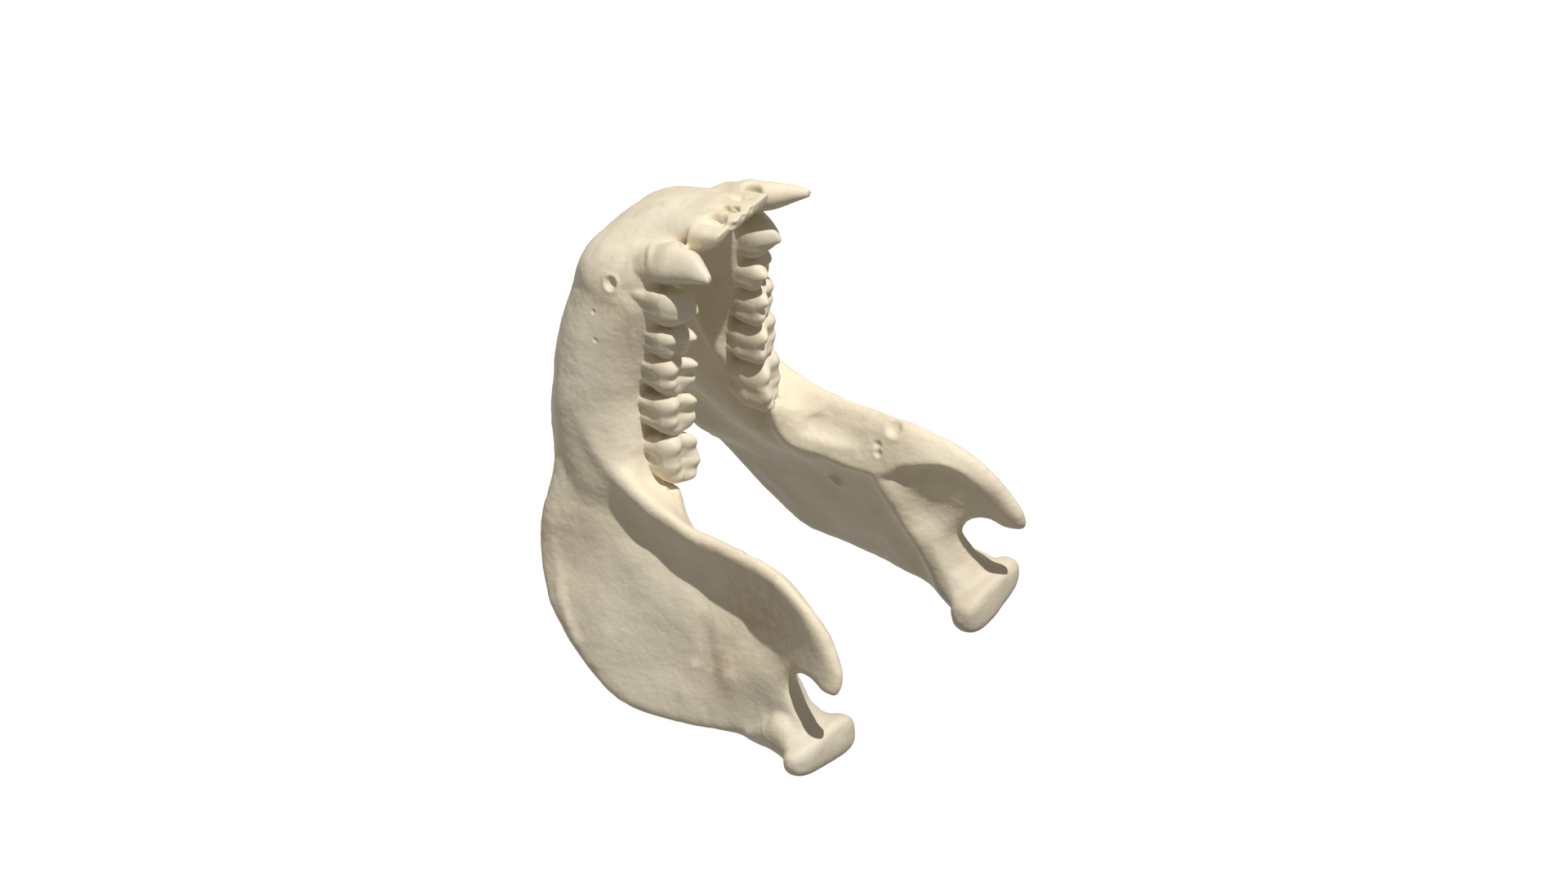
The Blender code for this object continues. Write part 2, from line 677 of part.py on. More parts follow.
def work_relief(obj):
    """Moves the skin out or in beside each named line, on both sides of the jaw."""
    folded = folded_places(obj)
    lift = np.zeros(len(folded))
    for line, reach, heights in RELIEF.values():
        distance, along = line_distance(folded, line)
        height = np.interp(along, np.linspace(0.0, 1.0, len(heights)), heights)
        lift += height * np.exp(-((distance / reach) ** 2))
    places = read_vertices(obj, "co") + lift[:, None] * read_vertices(obj, "normal")
    obj.data.vertices.foreach_set("co", places.ravel())
    obj.data.update()


def reduce_faces(obj, triangles):
    count = 2 * len(obj.data.polygons)
    reduce = obj.modifiers.new("fewer faces", "DECIMATE")
    reduce.ratio = triangles / count
    reduce.use_collapse_triangulate = True
    apply_modifiers(obj)


# Parting


def make_block(low_x, high_x, front, back):
    """A tall block between two x values and two planes, each given by its y at z = 0 and its gain with z."""
    corners = [
        (x, y + gain * z, z)
        for x in (low_x, high_x)
        for y, gain in (front, back)
        for z in (-FAR_OUT, FAR_OUT)
    ]
    faces = ((0, 1, 3, 2), (4, 6, 7, 5), (0, 4, 5, 1), (2, 3, 7, 6), (0, 2, 6, 4), (1, 5, 7, 3))
    return new_object("cutter", corners, faces)


def keep_largest(mesh):
    """Removes all but the largest closed surface, and edges too short to matter."""
    work = bmesh.new()
    work.from_mesh(mesh)
    bmesh.ops.dissolve_degenerate(work, dist=SMALLEST_EDGE, edges=work.edges)
    bmesh.ops.triangulate(work, faces=work.faces)
    left = set(work.verts)
    largest = set()
    while left:
        island = {left.pop()}
        edge_of_it = list(island)
        while edge_of_it:
            vertex = edge_of_it.pop()
            for edge in vertex.link_edges:
                other = edge.other_vert(vertex)
                if other not in island:
                    island.add(other)
                    edge_of_it.append(other)
        left -= island
        if len(island) > len(largest):
            largest = island
    bmesh.ops.delete(work, geom=[v for v in work.verts if v not in largest], context="VERTS")
    work.to_mesh(mesh)
    work.free()


def take_length(whole, name, blocks, operation):
    """A copy of the whole bone, cut by blocks."""
    node = bpy.data.objects.new(name, whole.data.copy())
    bpy.context.scene.collection.objects.link(node)
    for sizes in blocks:
        cutter = make_block(*sizes)
        cut = node.modifiers.new("cut", "BOOLEAN")
        cut.operation = operation
        cut.solver = "EXACT"
        cut.object = cutter
        apply_modifiers(node)
        bpy.data.objects.remove(cutter)
    keep_largest(node.data)
    node.data.name = name
    return node


def beside(plane, share):
    """A plane moved back by a share of the cut's gap."""
    y, gain = plane
    return y + share * CUT_GAP * math.hypot(1.0, gain), gain


def part_bone(whole):
    back = (FAR_OUT, 0.0)
    near_x = CHIN_CUT_X - CUT_GAP / 2
    behind_front = beside(FRONT_CUT, -0.5)
    sides = [(near_x, FAR_OUT, behind_front, back), (-FAR_OUT, -near_x, behind_front, back)]
    nodes = [take_length(whole, "symphysis", sides, "DIFFERENCE")]
    near_x = CHIN_CUT_X + CUT_GAP / 2
    for word, low_x, high_x in (("left", near_x, FAR_OUT), ("right", -FAR_OUT, -near_x)):
        body = (low_x, high_x, beside(FRONT_CUT, 0.5), beside(RAMUS_CUT, -0.5))
        ramus = (low_x, high_x, beside(RAMUS_CUT, 0.5), back)
        nodes.append(take_length(whole, word + "_body", [body], "INTERSECT"))
        nodes.append(take_length(whole, word + "_ramus", [ramus], "INTERSECT"))
    bpy.data.objects.remove(whole)
    return nodes


def give_material(node):
    material = bpy.data.materials.new(node.name + " bone")
    material.use_nodes = True
    shader = material.node_tree.nodes["Principled BSDF"]
    shader.inputs["Base Color"].default_value = (*BONE_COLOURS[node.name], 1.0)
    shader.inputs["Roughness"].default_value = BONE_ROUGHNESS
    shader.inputs["Metallic"].default_value = 0.0
    node.data.materials.clear()
    node.data.materials.append(material)


def settle(nodes):
    """Moves the foot of the box to the origin and scales to metres."""
    x, y, z = BOX_FOOT
    for node in nodes:
        node.data.transform(Matrix.Scale(MM, 4) @ Matrix.Translation((-x, -y, -z)))
        node.data.shade_smooth()


def clear_scene():
    for obj in list(bpy.data.objects):
        bpy.data.objects.remove(obj)


def make_bone():
    others = []
    for side in (1, -1):
        others += [make_ramus(side), make_condyle(side), make_neck(side)]
        for tooth in CHEEK_TEETH.values():
            others.append(make_cheek_tooth(side, **tooth))
        others.append(make_canine(side))
        others += [make_incisor(side, *sizes) for sizes in INCISORS]
    jaw = join_forms(make_body(), others)
    soften(jaw)
    work_relief(jaw)
    reduce_faces(jaw, FACES_IN_ALL)
    return jaw


def main():
    clear_scene()
    nodes = part_bone(make_bone())
    for node in nodes:
        give_material(node)
    settle(nodes)


main()
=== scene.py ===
"""The look of a male gorilla's lower jaw: one seamless bone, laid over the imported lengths.

The forms are those of the solids, made finer, with the marks that a real bone has worked into the skin.
X runs to the jaw's left, Y to the back and Z up. Shapes are in millimetres until the last step.
"""

import math

import bmesh
import bpy
import numpy as np
from mathutils import Matrix, Vector
from mathutils.bvhtree import BVHTree
from mathutils.geometry import delaunay_2d_cdt


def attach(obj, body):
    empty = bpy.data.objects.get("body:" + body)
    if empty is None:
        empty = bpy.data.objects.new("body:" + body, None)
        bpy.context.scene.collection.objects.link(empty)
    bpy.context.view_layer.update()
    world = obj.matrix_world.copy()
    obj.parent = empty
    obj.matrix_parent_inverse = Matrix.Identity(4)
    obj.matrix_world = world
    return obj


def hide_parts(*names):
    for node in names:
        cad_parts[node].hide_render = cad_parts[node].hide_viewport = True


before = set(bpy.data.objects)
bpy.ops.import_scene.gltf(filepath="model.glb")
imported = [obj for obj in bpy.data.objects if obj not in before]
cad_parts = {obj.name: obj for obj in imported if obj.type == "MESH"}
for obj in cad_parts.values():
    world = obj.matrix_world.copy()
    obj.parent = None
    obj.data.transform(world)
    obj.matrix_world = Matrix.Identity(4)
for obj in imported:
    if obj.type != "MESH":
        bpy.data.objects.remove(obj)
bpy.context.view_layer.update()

MM = 0.001
# The middle of the bottom of the solids' box, which is the origin of the frame
BOX_FOOT = (0.0, -5.29, 0.83)

# How finely the bone and the teeth are made
BONE_VOXEL = 0.7
SKIN_VOXEL = 0.48
BONE_SOFTENING, SKIN_SOFTENING = 6, 2
LOFT_STEP = 1.0
ARC_STEPS, LEG_STEPS, WALL_STEPS = 40, 80, 40
JOINT_SIDES, CHEEK_TOOTH_SIDES, CANINE_SIDES, INCISOR_SIDES = 40, 96, 48, 36
BAR_STEPS = 32

# The body of the jaw. Each wall is given at these heights, for the midline at the front and along one leg.
HEIGHTS = (0.0, 9.0, 18.0, 30.0, 42.0, 54.0)
FRONT_OUTER_Y = (-60.0, -75.2, -83.8, -91.0, -94.8, -98.0)
FRONT_INNER_Y = (-45.0, -41.0, -45.0, -58.0, -72.0, -87.0)
FRONT_BASE, FRONT_TOP = 0.8, 64.0
OUTER_ARC_END_Y, INNER_ARC_END_Y = -66.0, -46.0
ARC_SQUARENESS = (2.0, 2.4, 2.0, 1.6, 1.7, 2.3)
# Where along the front arc the rim falls from behind the incisors to the premolars
RIM_FALL = (0.13, 0.36)
# y, base, top, outer x at each height, inner x at each height
LEG = (
    (-66.0, 3.6, 49.0, (14.0, 23.6, 29.6, 33.0, 33.0, 31.0), (12.0, 12.0, 13.0, 15.0, 17.5, 20.0)),
    (-48.0, 1.4, 43.4, (26.0, 33.8, 36.9, 37.0, 34.8, 32.5), (19.0, 16.0, 14.5, 15.0, 16.5, 18.5)),
    (-28.0, 0.8, 39.0, (33.8, 40.0, 41.2, 39.6, 35.4, 33.0), (25.0, 21.0, 18.5, 17.0, 17.0, 18.5)),
    (-8.0, 1.2, 40.6, (36.8, 42.2, 43.8, 43.4, 41.2, 38.0), (30.0, 25.0, 21.0, 19.0, 18.5, 19.5)),
    (8.0, 2.6, 47.6, (39.6, 43.4, 45.4, 46.0, 45.6, 43.4), (33.0, 29.0, 26.0, 23.0, 21.5, 22.5)),
    (20.0, 2.4, 51.4, (42.0, 44.8, 45.6, 45.8, 45.6, 44.8), (35.6, 34.0, 32.0, 28.5, 26.5, 27.0)),
    (30.0, 1.6, 53.0, (44.6, 46.0, 46.4, 46.4, 46.2, 45.6), (37.4, 37.4, 37.0, 35.5, 33.5, 32.5)),
    (42.0, 2.2, 55.0, (47.6, 48.4, 48.6, 48.6, 48.4, 48.0), (41.0, 42.2, 43.0, 43.4, 43.2, 42.8)),
    (50.0, 5.0, 50.0, (50.8, 50.6, 50.2, 49.8, 49.4, 49.0), (48.4, 48.4, 48.0, 47.6, 47.0, 46.6)),
)
WALL_ROUNDING = 3.2

# The ramus: the middle of its edge, from the front of the root round the coronoid, notch, neck and angle
RAMUS_EDGE = (
    (38.0, -12.0, 22.0),
    (41.0, -4.0, 36.0),
    (43.6, 4.0, 50.0),
    (45.4, 9.4, 67.0),
    (46.2, 10.8, 84.0),
    (47.3, 12.2, 100.0),
    (50.0, 17.4, 114.5),
    (52.4, 27.0, 127.4),
    (54.2, 37.5, 134.3),
    (55.6, 45.0, 136.5),
    (57.4, 50.5, 134.6),
    (56.4, 51.2, 128.5),
    (54.6, 48.8, 122.0),
    (52.2, 51.2, 114.6),
    (52.0, 57.5, 111.2),
    (54.0, 65.0, 113.8),
    (56.5, 72.5, 119.4),
    (56.0, 79.0, 120.0),
    (53.5, 86.0, 112.0),
    (52.6, 87.2, 102.0),
    (54.2, 85.8, 90.0),
    (57.2, 85.8, 72.0),
    (59.8, 86.0, 54.0),
    (59.2, 84.2, 38.0),
    (58.3, 77.0, 26.0),
    (57.0, 66.0, 15.5),
    (52.8, 53.4, 6.2),
    (49.0, 42.0, 1.8),
    (46.6, 32.0, 0.8),
    (43.4, 18.0, 3.0),
    (40.4, 4.0, 4.8),
    (37.5, -10.0, 8.0),
)
# Points of the plate's middle inside that edge: the hollow for the chewing muscle
RAMUS_MIDDLE = (
    (43.2, 20.0, 60.0),
    (43.6, 24.0, 76.0),
    (44.8, 30.0, 98.0),
    (44.6, 24.0, 30.0),
    (45.4, 33.0, 44.0),
    (45.0, 38.0, 84.0),
    (48.6, 41.0, 110.0),
    (48.6, 46.0, 62.0),
    (50.6, 58.0, 98.0),
    (54.2, 68.0, 60.0),
)
RAMUS_HALF_THICKNESS = 3.0
EDGE_ROUNDING = 5.0
OUTLINE_STEP = 1.2
PLATE_STIFFNESS = 6.0
# Ridges of the inner face: y, z, how far each stands in from the plate, and how far in front of it and
# behind it the bone falls away
TEMPORAL_CREST = (
    (4.0, 49.0, 14.0, 0.0, 16.0),
    (11.0, 50.5, 13.0, 0.0, 16.0),
    (20.0, 52.0, 12.0, 0.0, 15.0),
    (25.0, 57.0, 10.5, 0.0, 13.0),
    (26.0, 67.0, 8.2, 0.0, 10.0),
    (30.0, 79.0, 5.6, 0.0, 6.0),
    (30.0, 88.5, 4.4, 0.0, 4.5),
    (25.0, 95.0, 3.6, 0.0, 3.8),
    (22.4, 106.0, 3.0, 0.0, 3.2),
    (23.4, 116.0, 2.0, 0.0, 3.0),
    (30.5, 126.0, 0.4, 0.0, 3.0),
)
PILLAR = (
    (31.0, 86.0, 4.6, 5.0, 5.0),
    (44.0, 91.0, 5.4, 7.0, 6.0),
    (54.4, 95.5, 6.6, 9.0, 7.0),
    (62.0, 101.0, 7.8, 11.0, 8.0),
    (68.0, 105.5, 9.0, 14.0, 9.0),
    (76.0, 109.5, 10.0, 16.0, 9.0),
    (83.0, 114.0, 10.0, 16.0, 8.0),
)

# The joint: a bar across the top of the neck, and the neck's level sections
CONDYLE_INNER = (34.2, 82.0, 119.8)
CONDYLE_OUTER = (69.6, 79.4, 119.2)
CONDYLE_HALF_INNER = (8.5, 7.2)
CONDYLE_HALF_OUTER = (6.6, 5.6)
CONDYLE_SQUARENESS = 2.7
CONDYLE_END_SQUARENESS = 4.0
CONDYLE_END_ROUNDING = 2.2
NECK = (
    (54.6, 82.6, 90.0, 2.2, 2.2),
    (53.8, 81.6, 96.0, 4.2, 4.0),
    (52.8, 79.4, 102.0, 7.4, 6.2),
    (51.8, 77.0, 107.0, 10.4, 9.0),
    (51.4, 77.4, 112.0, 12.4, 9.8),
    (51.4, 79.8, 118.0, 15.0, 7.2),
)
NECK_SQUARENESS = 2.2

# Cheek teeth: centre, length and breadth, height of the neck and of the middle of the crown, how much lower
# the cheek side is, how far the root is forked, and the cusps as x, y, height of the tip and reach. The
# first and second cusps are joined by a ridge, and so are the third and fourth.
CHEEK_TEETH = {
    "p3": {
        "centre": (25.4, -67.6),
        "size": (15.0, 12.8),
        "heights": (46.4, 51.6),
        "tilt": 1.0,
        "fork": 0.3,
        "cusps": (
            (24.6, -72.0, 60.0, 6.2),
            (25.2, -68.2, 62.2, 6.6),
            (22.6, -62.8, 56.2, 3.8),
            (27.0, -62.2, 54.6, 3.6),
        ),
    },
    "p4": {
        "centre": (25.5, -52.8),
        "size": (12.8, 13.4),
        "heights": (46.0, 52.6),
        "tilt": 2.6,
        "fork": 0.5,
        "cusps": (
            (21.4, -54.0, 58.6, 4.0),
            (28.4, -56.0, 55.6, 4.6),
            (21.6, -49.2, 55.2, 3.0),
            (28.4, -50.4, 53.8, 3.4),
        ),
    },
    "m1": {
        "centre": (25.9, -38.5),
        "size": (15.4, 13.8),
        "heights": (45.2, 52.6),
        "tilt": 3.0,
        "fork": 1.0,
        "cusps": (
            (21.0, -42.6, 58.2, 3.8),
            (29.2, -43.6, 54.8, 4.2),
            (21.0, -35.8, 56.2, 3.5),
            (29.4, -37.6, 53.8, 3.8),
            (27.6, -33.4, 53.4, 2.8),
        ),
    },
    "m2": {
        "centre": (26.3, -22.3),
        "size": (16.8, 14.6),
        "heights": (44.4, 52.0),
        "tilt": 3.0,
        "fork": 1.0,
        "cusps": (
            (21.0, -26.6, 56.4, 3.9),
            (29.6, -28.4, 54.0, 4.4),
            (21.0, -19.0, 54.8, 3.7),
            (29.8, -21.8, 53.2, 4.0),
            (28.2, -16.6, 52.8, 3.0),
        ),
    },
    "m3": {
        "centre": (26.9, -3.4),
        "size": (20.2, 14.8),
        "heights": (44.4, 51.6),
        "tilt": 2.8,
        "fork": 0.8,
        "cusps": (
            (21.4, -9.4, 55.2, 4.0),
            (30.0, -10.8, 53.6, 4.5),
            (21.6, -1.2, 55.4, 3.9),
            (30.2, -3.4, 53.0, 4.2),
            (28.4, 3.2, 52.8, 3.2),
            (23.6, 4.8, 54.4, 3.0),
        ),
    },
}
ROOT_DEPTH = 10.0
ROOT_OUTWARD = 0.6
NECK_LEAN = 1.4
TOOTH_SKEW = 1.5
CROWN_SQUARENESS = 3.2
CROWN_EDGE_DROP = 3.0
CUSP_RIDGE_DROP = 1.6
CUSP_RIDGE_REACH = 2.0
FISSURE_DEPTH = 0.6
FISSURE_WIDTHS = (0.16, 0.14)
# How far above the neck the crown is full
CROWN_FOOT = 0.8
# Height from the neck, share of the breadth, share of the length, and depth of the groove between the roots
ROOT_LEVELS = (
    (-ROOT_DEPTH, 0.68, 0.68, 0.36),
    (-4.5, 0.86, 0.79, 0.32),
    (-2.0, 0.92, 0.85, 0.24),
    (-0.4, 0.95, 0.91, 0.14),
    (CROWN_FOOT, 0.98, 0.97, 0.07),
)
# The rings of a crown's top, as shares of its outline
CROWN_RINGS = (1.0, 0.99, 0.97, 0.94, 0.9, 0.85, 0.78, 0.7, 0.61, 0.51, 0.4, 0.29, 0.17, 0.06)
CROWN_GROOVE = 0.04
# x, y and z of the canine's middle line, and its half length and half width there
CANINE = (
    (16.0, -66.0, 12.0, 4.0, 3.6),
    (18.2, -71.4, 24.0, 5.4, 4.6),
    (20.4, -77.6, 36.0, 6.6, 5.6),
    (22.0, -82.2, 46.0, 7.4, 6.1),
    (22.9, -85.0, 52.0, 7.8, 6.2),
    (23.7, -86.4, 57.0, 6.9, 5.4),
    (25.2, -87.6, 63.0, 5.6, 4.7),
    (28.0, -88.8, 69.0, 3.6, 3.2),
    (30.2, -89.4, 74.2, 1.4, 1.3),
)
CANINE_TURN = math.radians(50.0)
CANINE_SQUARENESS = 2.3
# x, y and height of the edge, width
INCISORS = ((4.1, -97.4, 69.8, 8.0), (11.6, -95.3, 67.8, 7.4))
INCISOR_FOOT = 54.0
INCISOR_SQUARENESS = 3.2
# The share of the height from which an incisor is worn round and over which share, half its width there and
# lower down as shares of the width, and half its depth at the foot, at the edge and that lost by wear
INCISOR_WORN_FROM = 0.84
INCISOR_WEAR_LENGTH = 0.162
INCISOR_HALF_WIDTHS = (0.42, 0.54)
INCISOR_DEPTHS = (4.2, 0.5, 1.3)
INCISOR_TAPER = 0.7
# How far the middle of its depth leans to the front between the foot and the edge
INCISOR_LEAN = 2.6

# Places where the forms of the bone are melted together: centre, reach and rounds of smoothing
MELTS = (
    ((45.0, 8.0, 22.0), 26.0, 60),
    ((48.0, 30.0, 40.0), 18.0, 45),
    ((51.0, 82.0, 111.0), 20.0, 20),
    ((58.0, 82.0, 98.0), 16.0, 50),
    ((16.0, -60.0, 15.0), 20.0, 24),
    ((47.0, 46.0, 6.0), 14.0, 40),
    ((56.0, 76.0, 117.0), 8.0, 30),
)

# Marks worked into the bone before the teeth are set: a line of points on one side, its reach and the
# heights along it. Each is made on both sides of the jaw.
BONE_MARKS = {
    "oblique line": (
        ((42.5, -22.0, 20.0), (45.0, -9.0, 27.0), (46.5, 0.0, 39.0), (47.5, 7.0, 50.0)),
        4.0,
        (0.0, 1.2, 1.4, 0.6),
    ),
    "hollow behind the oblique line": (
        (
            (47.5, 12.0, 32.0),
            (47.5, 19.0, 44.0),
            (47.0, 25.0, 57.0),
            (47.0, 32.0, 72.0),
            (48.0, 38.0, 84.0),
            (50.0, 44.0, 96.0),
            (51.5, 48.0, 105.0),
        ),
        8.0,
        (-1.0, -2.4, -2.2, -1.8, -1.6, -1.6, -1.0),
    ),
    "outer swell of the neck": (
        ((57.0, 66.0, 106.0), (58.0, 74.0, 102.0), (58.0, 79.0, 94.0)),
        6.0,
        (0.8, 1.7, 0.8),
    ),
    "hollow behind the coronoid's crest": (
        ((44.6, 33.0, 109.0), (45.0, 39.0, 107.0), (46.0, 46.0, 102.0)),
        7.0,
        (-1.0, -1.9, -1.2),
    ),
    "crest of the joint": (
        ((34.0, 78.0, 124.0), (45.5, 76.0, 122.5), (57.0, 75.0, 123.5)),
        2.6,
        (0.3, 1.0, 0.7),
    ),
    "dent before the joint": (((38.0, 71.0, 116.0), (43.0, 70.0, 115.0)), 4.0, (-1.2, -0.4)),
    "hollow beside the last molar": (((37.0, -6.0, 43.0), (37.0, 5.0, 47.0)), 4.0, (-0.8, -1.2)),
    "retromolar trough": (
        ((35.0, 10.0, 54.0), (37.5, 18.0, 62.0), (41.0, 21.0, 74.0)),
        5.0,
        (-0.8, -1.6, -1.2),
    ),
    "basin in the trough": (
        ((38.0, 13.0, 59.0), (40.0, 15.5, 67.0), (42.0, 16.0, 76.0)),
        4.4,
        (-0.5, -1.1, -0.4),
    ),
    "rim of the basin": (
        ((33.5, 21.5, 58.0), (35.5, 23.0, 67.0), (38.5, 23.5, 77.0)),
        2.4,
        (0.3, 0.9, 0.5),
    ),
    "line for the floor of the mouth": (
        ((23.0, 8.0, 44.0), (19.5, -14.0, 36.0), (16.5, -36.0, 28.0), (13.0, -50.0, 20.0)),
        2.6,
        (1.0, 0.9, 0.7, 0.2),
    ),
    "hollow under that line": (
        ((25.0, 4.0, 28.0), (21.0, -18.0, 24.0), (18.0, -36.0, 18.0)),
        7.0,
        (-0.6, -0.9, -0.3),
    ),
    "plate beside the molars' roots": (
        ((17.0, -50.0, 34.0), (17.0, -34.0, 33.0), (19.0, -16.0, 35.0)),
        4.0,
        (0.6, 1.1, 0.7),
    ),
    "canine root": (((26.5, -83.0, 42.0), (24.0, -78.0, 30.0), (20.0, -73.0, 18.0)), 7.0, (1.2, 0.8, 0.2)),
    "hollow behind the canine root": (((34.0, -72.0, 40.0), (32.0, -70.0, 33.0)), 5.0, (-1.0, -0.3)),
    "hollow of the chin": (((0.0, -95.5, 44.0), (0.0, -90.0, 28.0)), 9.0, (-0.5, -0.3)),
    "mound of the chewing muscle": (
        ((50.0, 43.0, 86.0), (51.0, 50.0, 80.0), (54.0, 62.0, 84.0)),
        5.0,
        (0.9, 0.5, 0.8),
    ),
    "hollow in front of the mound": (((48.0, 36.0, 72.0), (49.0, 34.0, 82.0)), 4.0, (-0.5, -0.5)),
    "upper muscle scar": (
        ((50.5, 47.0, 73.0), (53.0, 56.0, 76.0), (54.5, 63.0, 80.0)),
        3.2,
        (-0.4, -0.5, -0.3),
    ),
    "middle muscle scar": (((55.5, 62.0, 70.0), (58.0, 73.0, 66.0)), 2.6, (0.6, 0.5)),
    "lower muscle scar": (((57.0, 60.0, 34.0), (59.0, 72.0, 30.0)), 2.6, (0.45, 0.6)),
    "scar at the angle": (
        ((50.0, 34.0, 8.0), (55.0, 52.0, 14.0), (58.5, 66.0, 22.0)),
        2.4,
        (0.3, 0.7, 0.7),
    ),
    "inner muscle scar": (((51.0, 60.0, 24.0), (54.0, 72.0, 36.0)), 3.0, (0.6, 0.5)),
}
MARK_STEP = 1.5
# Hollows and holes: place, radius, depth and the height of the rim round it, which stands at a share of the
# radius and is a share of it wide
PIT_RIM_AT, PIT_RIM_WIDTH = 1.5, 0.4
BONE_PITS = {
    "mental foramen": ((32.0, -74.0, 30.0), 2.0, 1.7, 0.5),
    "pit below it": ((34.0, -61.0, 23.5), 0.8, 0.7, 0.1),
    "pit behind it": ((37.0, -51.5, 25.6), 0.8, 0.8, 0.1),
    "hollow by the coronoid": ((43.4, 13.5, 91.7), 2.6, 1.3, 0.2),
    "groove on the crest": ((39.7, 20.1, 86.6), 1.4, 0.8, 0.1),
    "second groove on the crest": ((38.8, 22.9, 87.1), 1.3, 0.8, 0.1),
    "inner hole of the nerve": ((44.0, 48.0, 62.0), 2.4, 2.0, 0.5),
    "pit under the last molar": ((32.0, 8.5, 49.0), 1.6, 1.6, 0.2),
    "pit in the hollow of the ramus": ((47.0, 27.0, 99.0), 1.2, 0.4, 0.1),
}
SKIN_PITS = {
    "gap between the first incisors": ((0.0, -98.8, 63.4), 2.2, 2.5, 0.0),
    "lower end of that gap": ((0.0, -98.8, 60.0), 1.8, 1.6, 0.0),
    "gap between the incisors": ((8.0, -98.0, 63.0), 2.4, 2.9, 0.0),
    "lower end of that gap too": ((8.4, -98.0, 59.6), 2.3, 2.4, 0.0),
    "gap before the canine": ((17.4, -92.0, 58.0), 3.2, 3.0, 0.0),
    "notch in the edge": ((8.3, -97.0, 69.4), 1.5, 0.9, 0.0),
    "chip in the edge": ((2.4, -98.0, 70.6), 1.3, 0.6, 0.0),
}
# Lines worked into the skin once the teeth are set
SKIN_MARKS = {
    "rim of the canine's crown": (
        ((19.0, -90.5, 39.0), (22.0, -89.5, 41.0), (26.0, -88.0, 43.5), (29.0, -85.0, 45.0)),
        1.9,
        (0.0, 0.6, 0.8, 0.3),
    ),
}
# Places where the teeth and the bone are blended: centre, reach and rounds of smoothing
SKIN_MELTS = (
    ((23.0, -87.0, 42.0), 12.0, 26),
    ((9.0, -97.0, 57.0), 12.0, 30),
)
# Waves of the bone's skin: size, how much they rise and fall, and finer octaves. They are strongest at the
# base of the jaw, between the heights given, and weakest on the teeth.
WAVES = ((16.0, 1.0, 0), (5.0, 0.22, 1), (1.8, 0.07, 1))
WAVES_AT_BASE, WAVES_ABOVE, WAVES_LOST_ON_TEETH = 0.9, 0.45, 0.6
BASE_HEIGHTS = (1.0, 26.0)
WAVE_STEPS = 8

# Where the crowns of the front teeth are, from bone to tooth: away from the canine's middle line, up the
# canine, up the incisors, away from the midline, and the back of the incisors
CANINE_REACH = (9.5, 8.0)
CANINE_CROWN = (47.0, 49.0)
INCISOR_CROWN = (60.0, 63.0)
INCISOR_SIDE = (18.0, 16.0)
INCISOR_BACK = -85.0

# Places that are stained brown: centre, reach and strength
STAINS = (
    ((32.0, -70.0, 32.0), 9.0, 0.7),
    ((35.0, -58.0, 40.0), 10.0, 0.6),
    ((28.0, -84.0, 36.0), 9.0, 0.25),
    ((50.0, 34.0, 98.0), 17.0, 0.85),
    ((53.0, 57.0, 80.0), 11.0, 0.8),
    ((30.0, -75.0, 48.0), 5.0, 0.8),
    ((52.0, 45.0, 112.0), 11.0, 0.6),
    ((60.0, 80.0, 112.0), 8.0, 0.45),
    ((45.0, 12.0, 84.0), 8.0, 0.35),
    ((8.0, -98.0, 62.0), 9.0, 0.35),
    ((44.0, 26.0, 2.0), 16.0, 0.35),
    ((58.0, 60.0, 14.0), 14.0, 0.3),
)

# The stain on the front face of each cheek tooth: how far out and up from the middle of its neck, its reach
# and its strength
GAP_STAIN_OFFSET = 2.5
GAP_STAIN_REACH = 4.2
GAP_STAIN_STRENGTH = 0.85
# Stains fade where a face looks this much to the jaw's midline
STAINED_FACING = (-0.6, -0.2)
# Places on the joints painted darker, painted shade where their tops turn from the key light: centre, reach
# and strength
JOINT_SHADE_PLACES = (
    ((54.0, 80.0, 117.0), 15.0, 0.8),
    ((41.0, 77.0, 112.0), 18.0, 1.0),
)
# Places painted paler and more neutral, partly painted light that lifts outer faces the key light only
# grazes: centre, reach and strength
PALE_TONE_AND_PAINTED_LIGHT_PLACES = (
    ((54.0, 56.0, 50.0), 44.0, 0.85),
    ((42.0, -10.0, 30.0), 34.0, 0.5),
    ((40.0, -42.0, 12.0), 20.0, 0.8),
    ((26.0, -20.0, 52.0), 24.0, 0.3),
)

# Colours in linear red, green and blue
CREAM = (0.76, 0.655, 0.475, 1.0)
PALE = (0.83, 0.745, 0.575, 1.0)
# A darker beige, for the cloudy tone and for the painted shade on the joints
GREY_BEIGE = (0.58, 0.515, 0.40, 1.0)
TAN = (0.56, 0.395, 0.255, 1.0)
# A paler, more neutral bone tone, partly painted light for the grazing-lit outer faces
PALE_TONE_AND_PAINTED_LIGHT = (0.85, 0.785, 0.635, 1.0)
ENAMEL = (0.78, 0.70, 0.54, 1.0)
FLOOR_WHITE = (0.93, 0.93, 0.93, 1.0)
# The noise behind each tint, and behind the grain of the surface: scale, detail and roughness
CLOUDS = (28.0, 3.0, 0.5)
GREY_CLOUDS = (60.0, 5.0, 0.6)
TAN_SPECKS = (140.0, 4.0, 0.6)
STAIN_PATCHES = (190.0, 5.0, 0.65)
GRAIN = (520.0, 6.0, 0.62)
GRAIN_STRENGTH, GRAIN_DEPTH = 0.35, 0.0006
BONE_ROUGHNESS, BONE_SPECULAR = 0.6, 0.35
FLOOR_ROUGHNESS = 0.9

# The camera: where the middle of the picture falls in the jaw's frame, the directions of the picture's right
# and up and towards the viewer, and a long lens in millimetres at a distance in metres
VIEW_MIDDLE = (-21.7, 16.6, 59.3)
VIEW_RIGHT = (-0.5765, 0.0779, 0.8134)
VIEW_UP = (-0.5078, -0.8140, -0.2819)
VIEW_BACK = (0.6402, -0.5756, 0.5088)
VIEW_DISTANCE = 6.0
LENS = 390.7
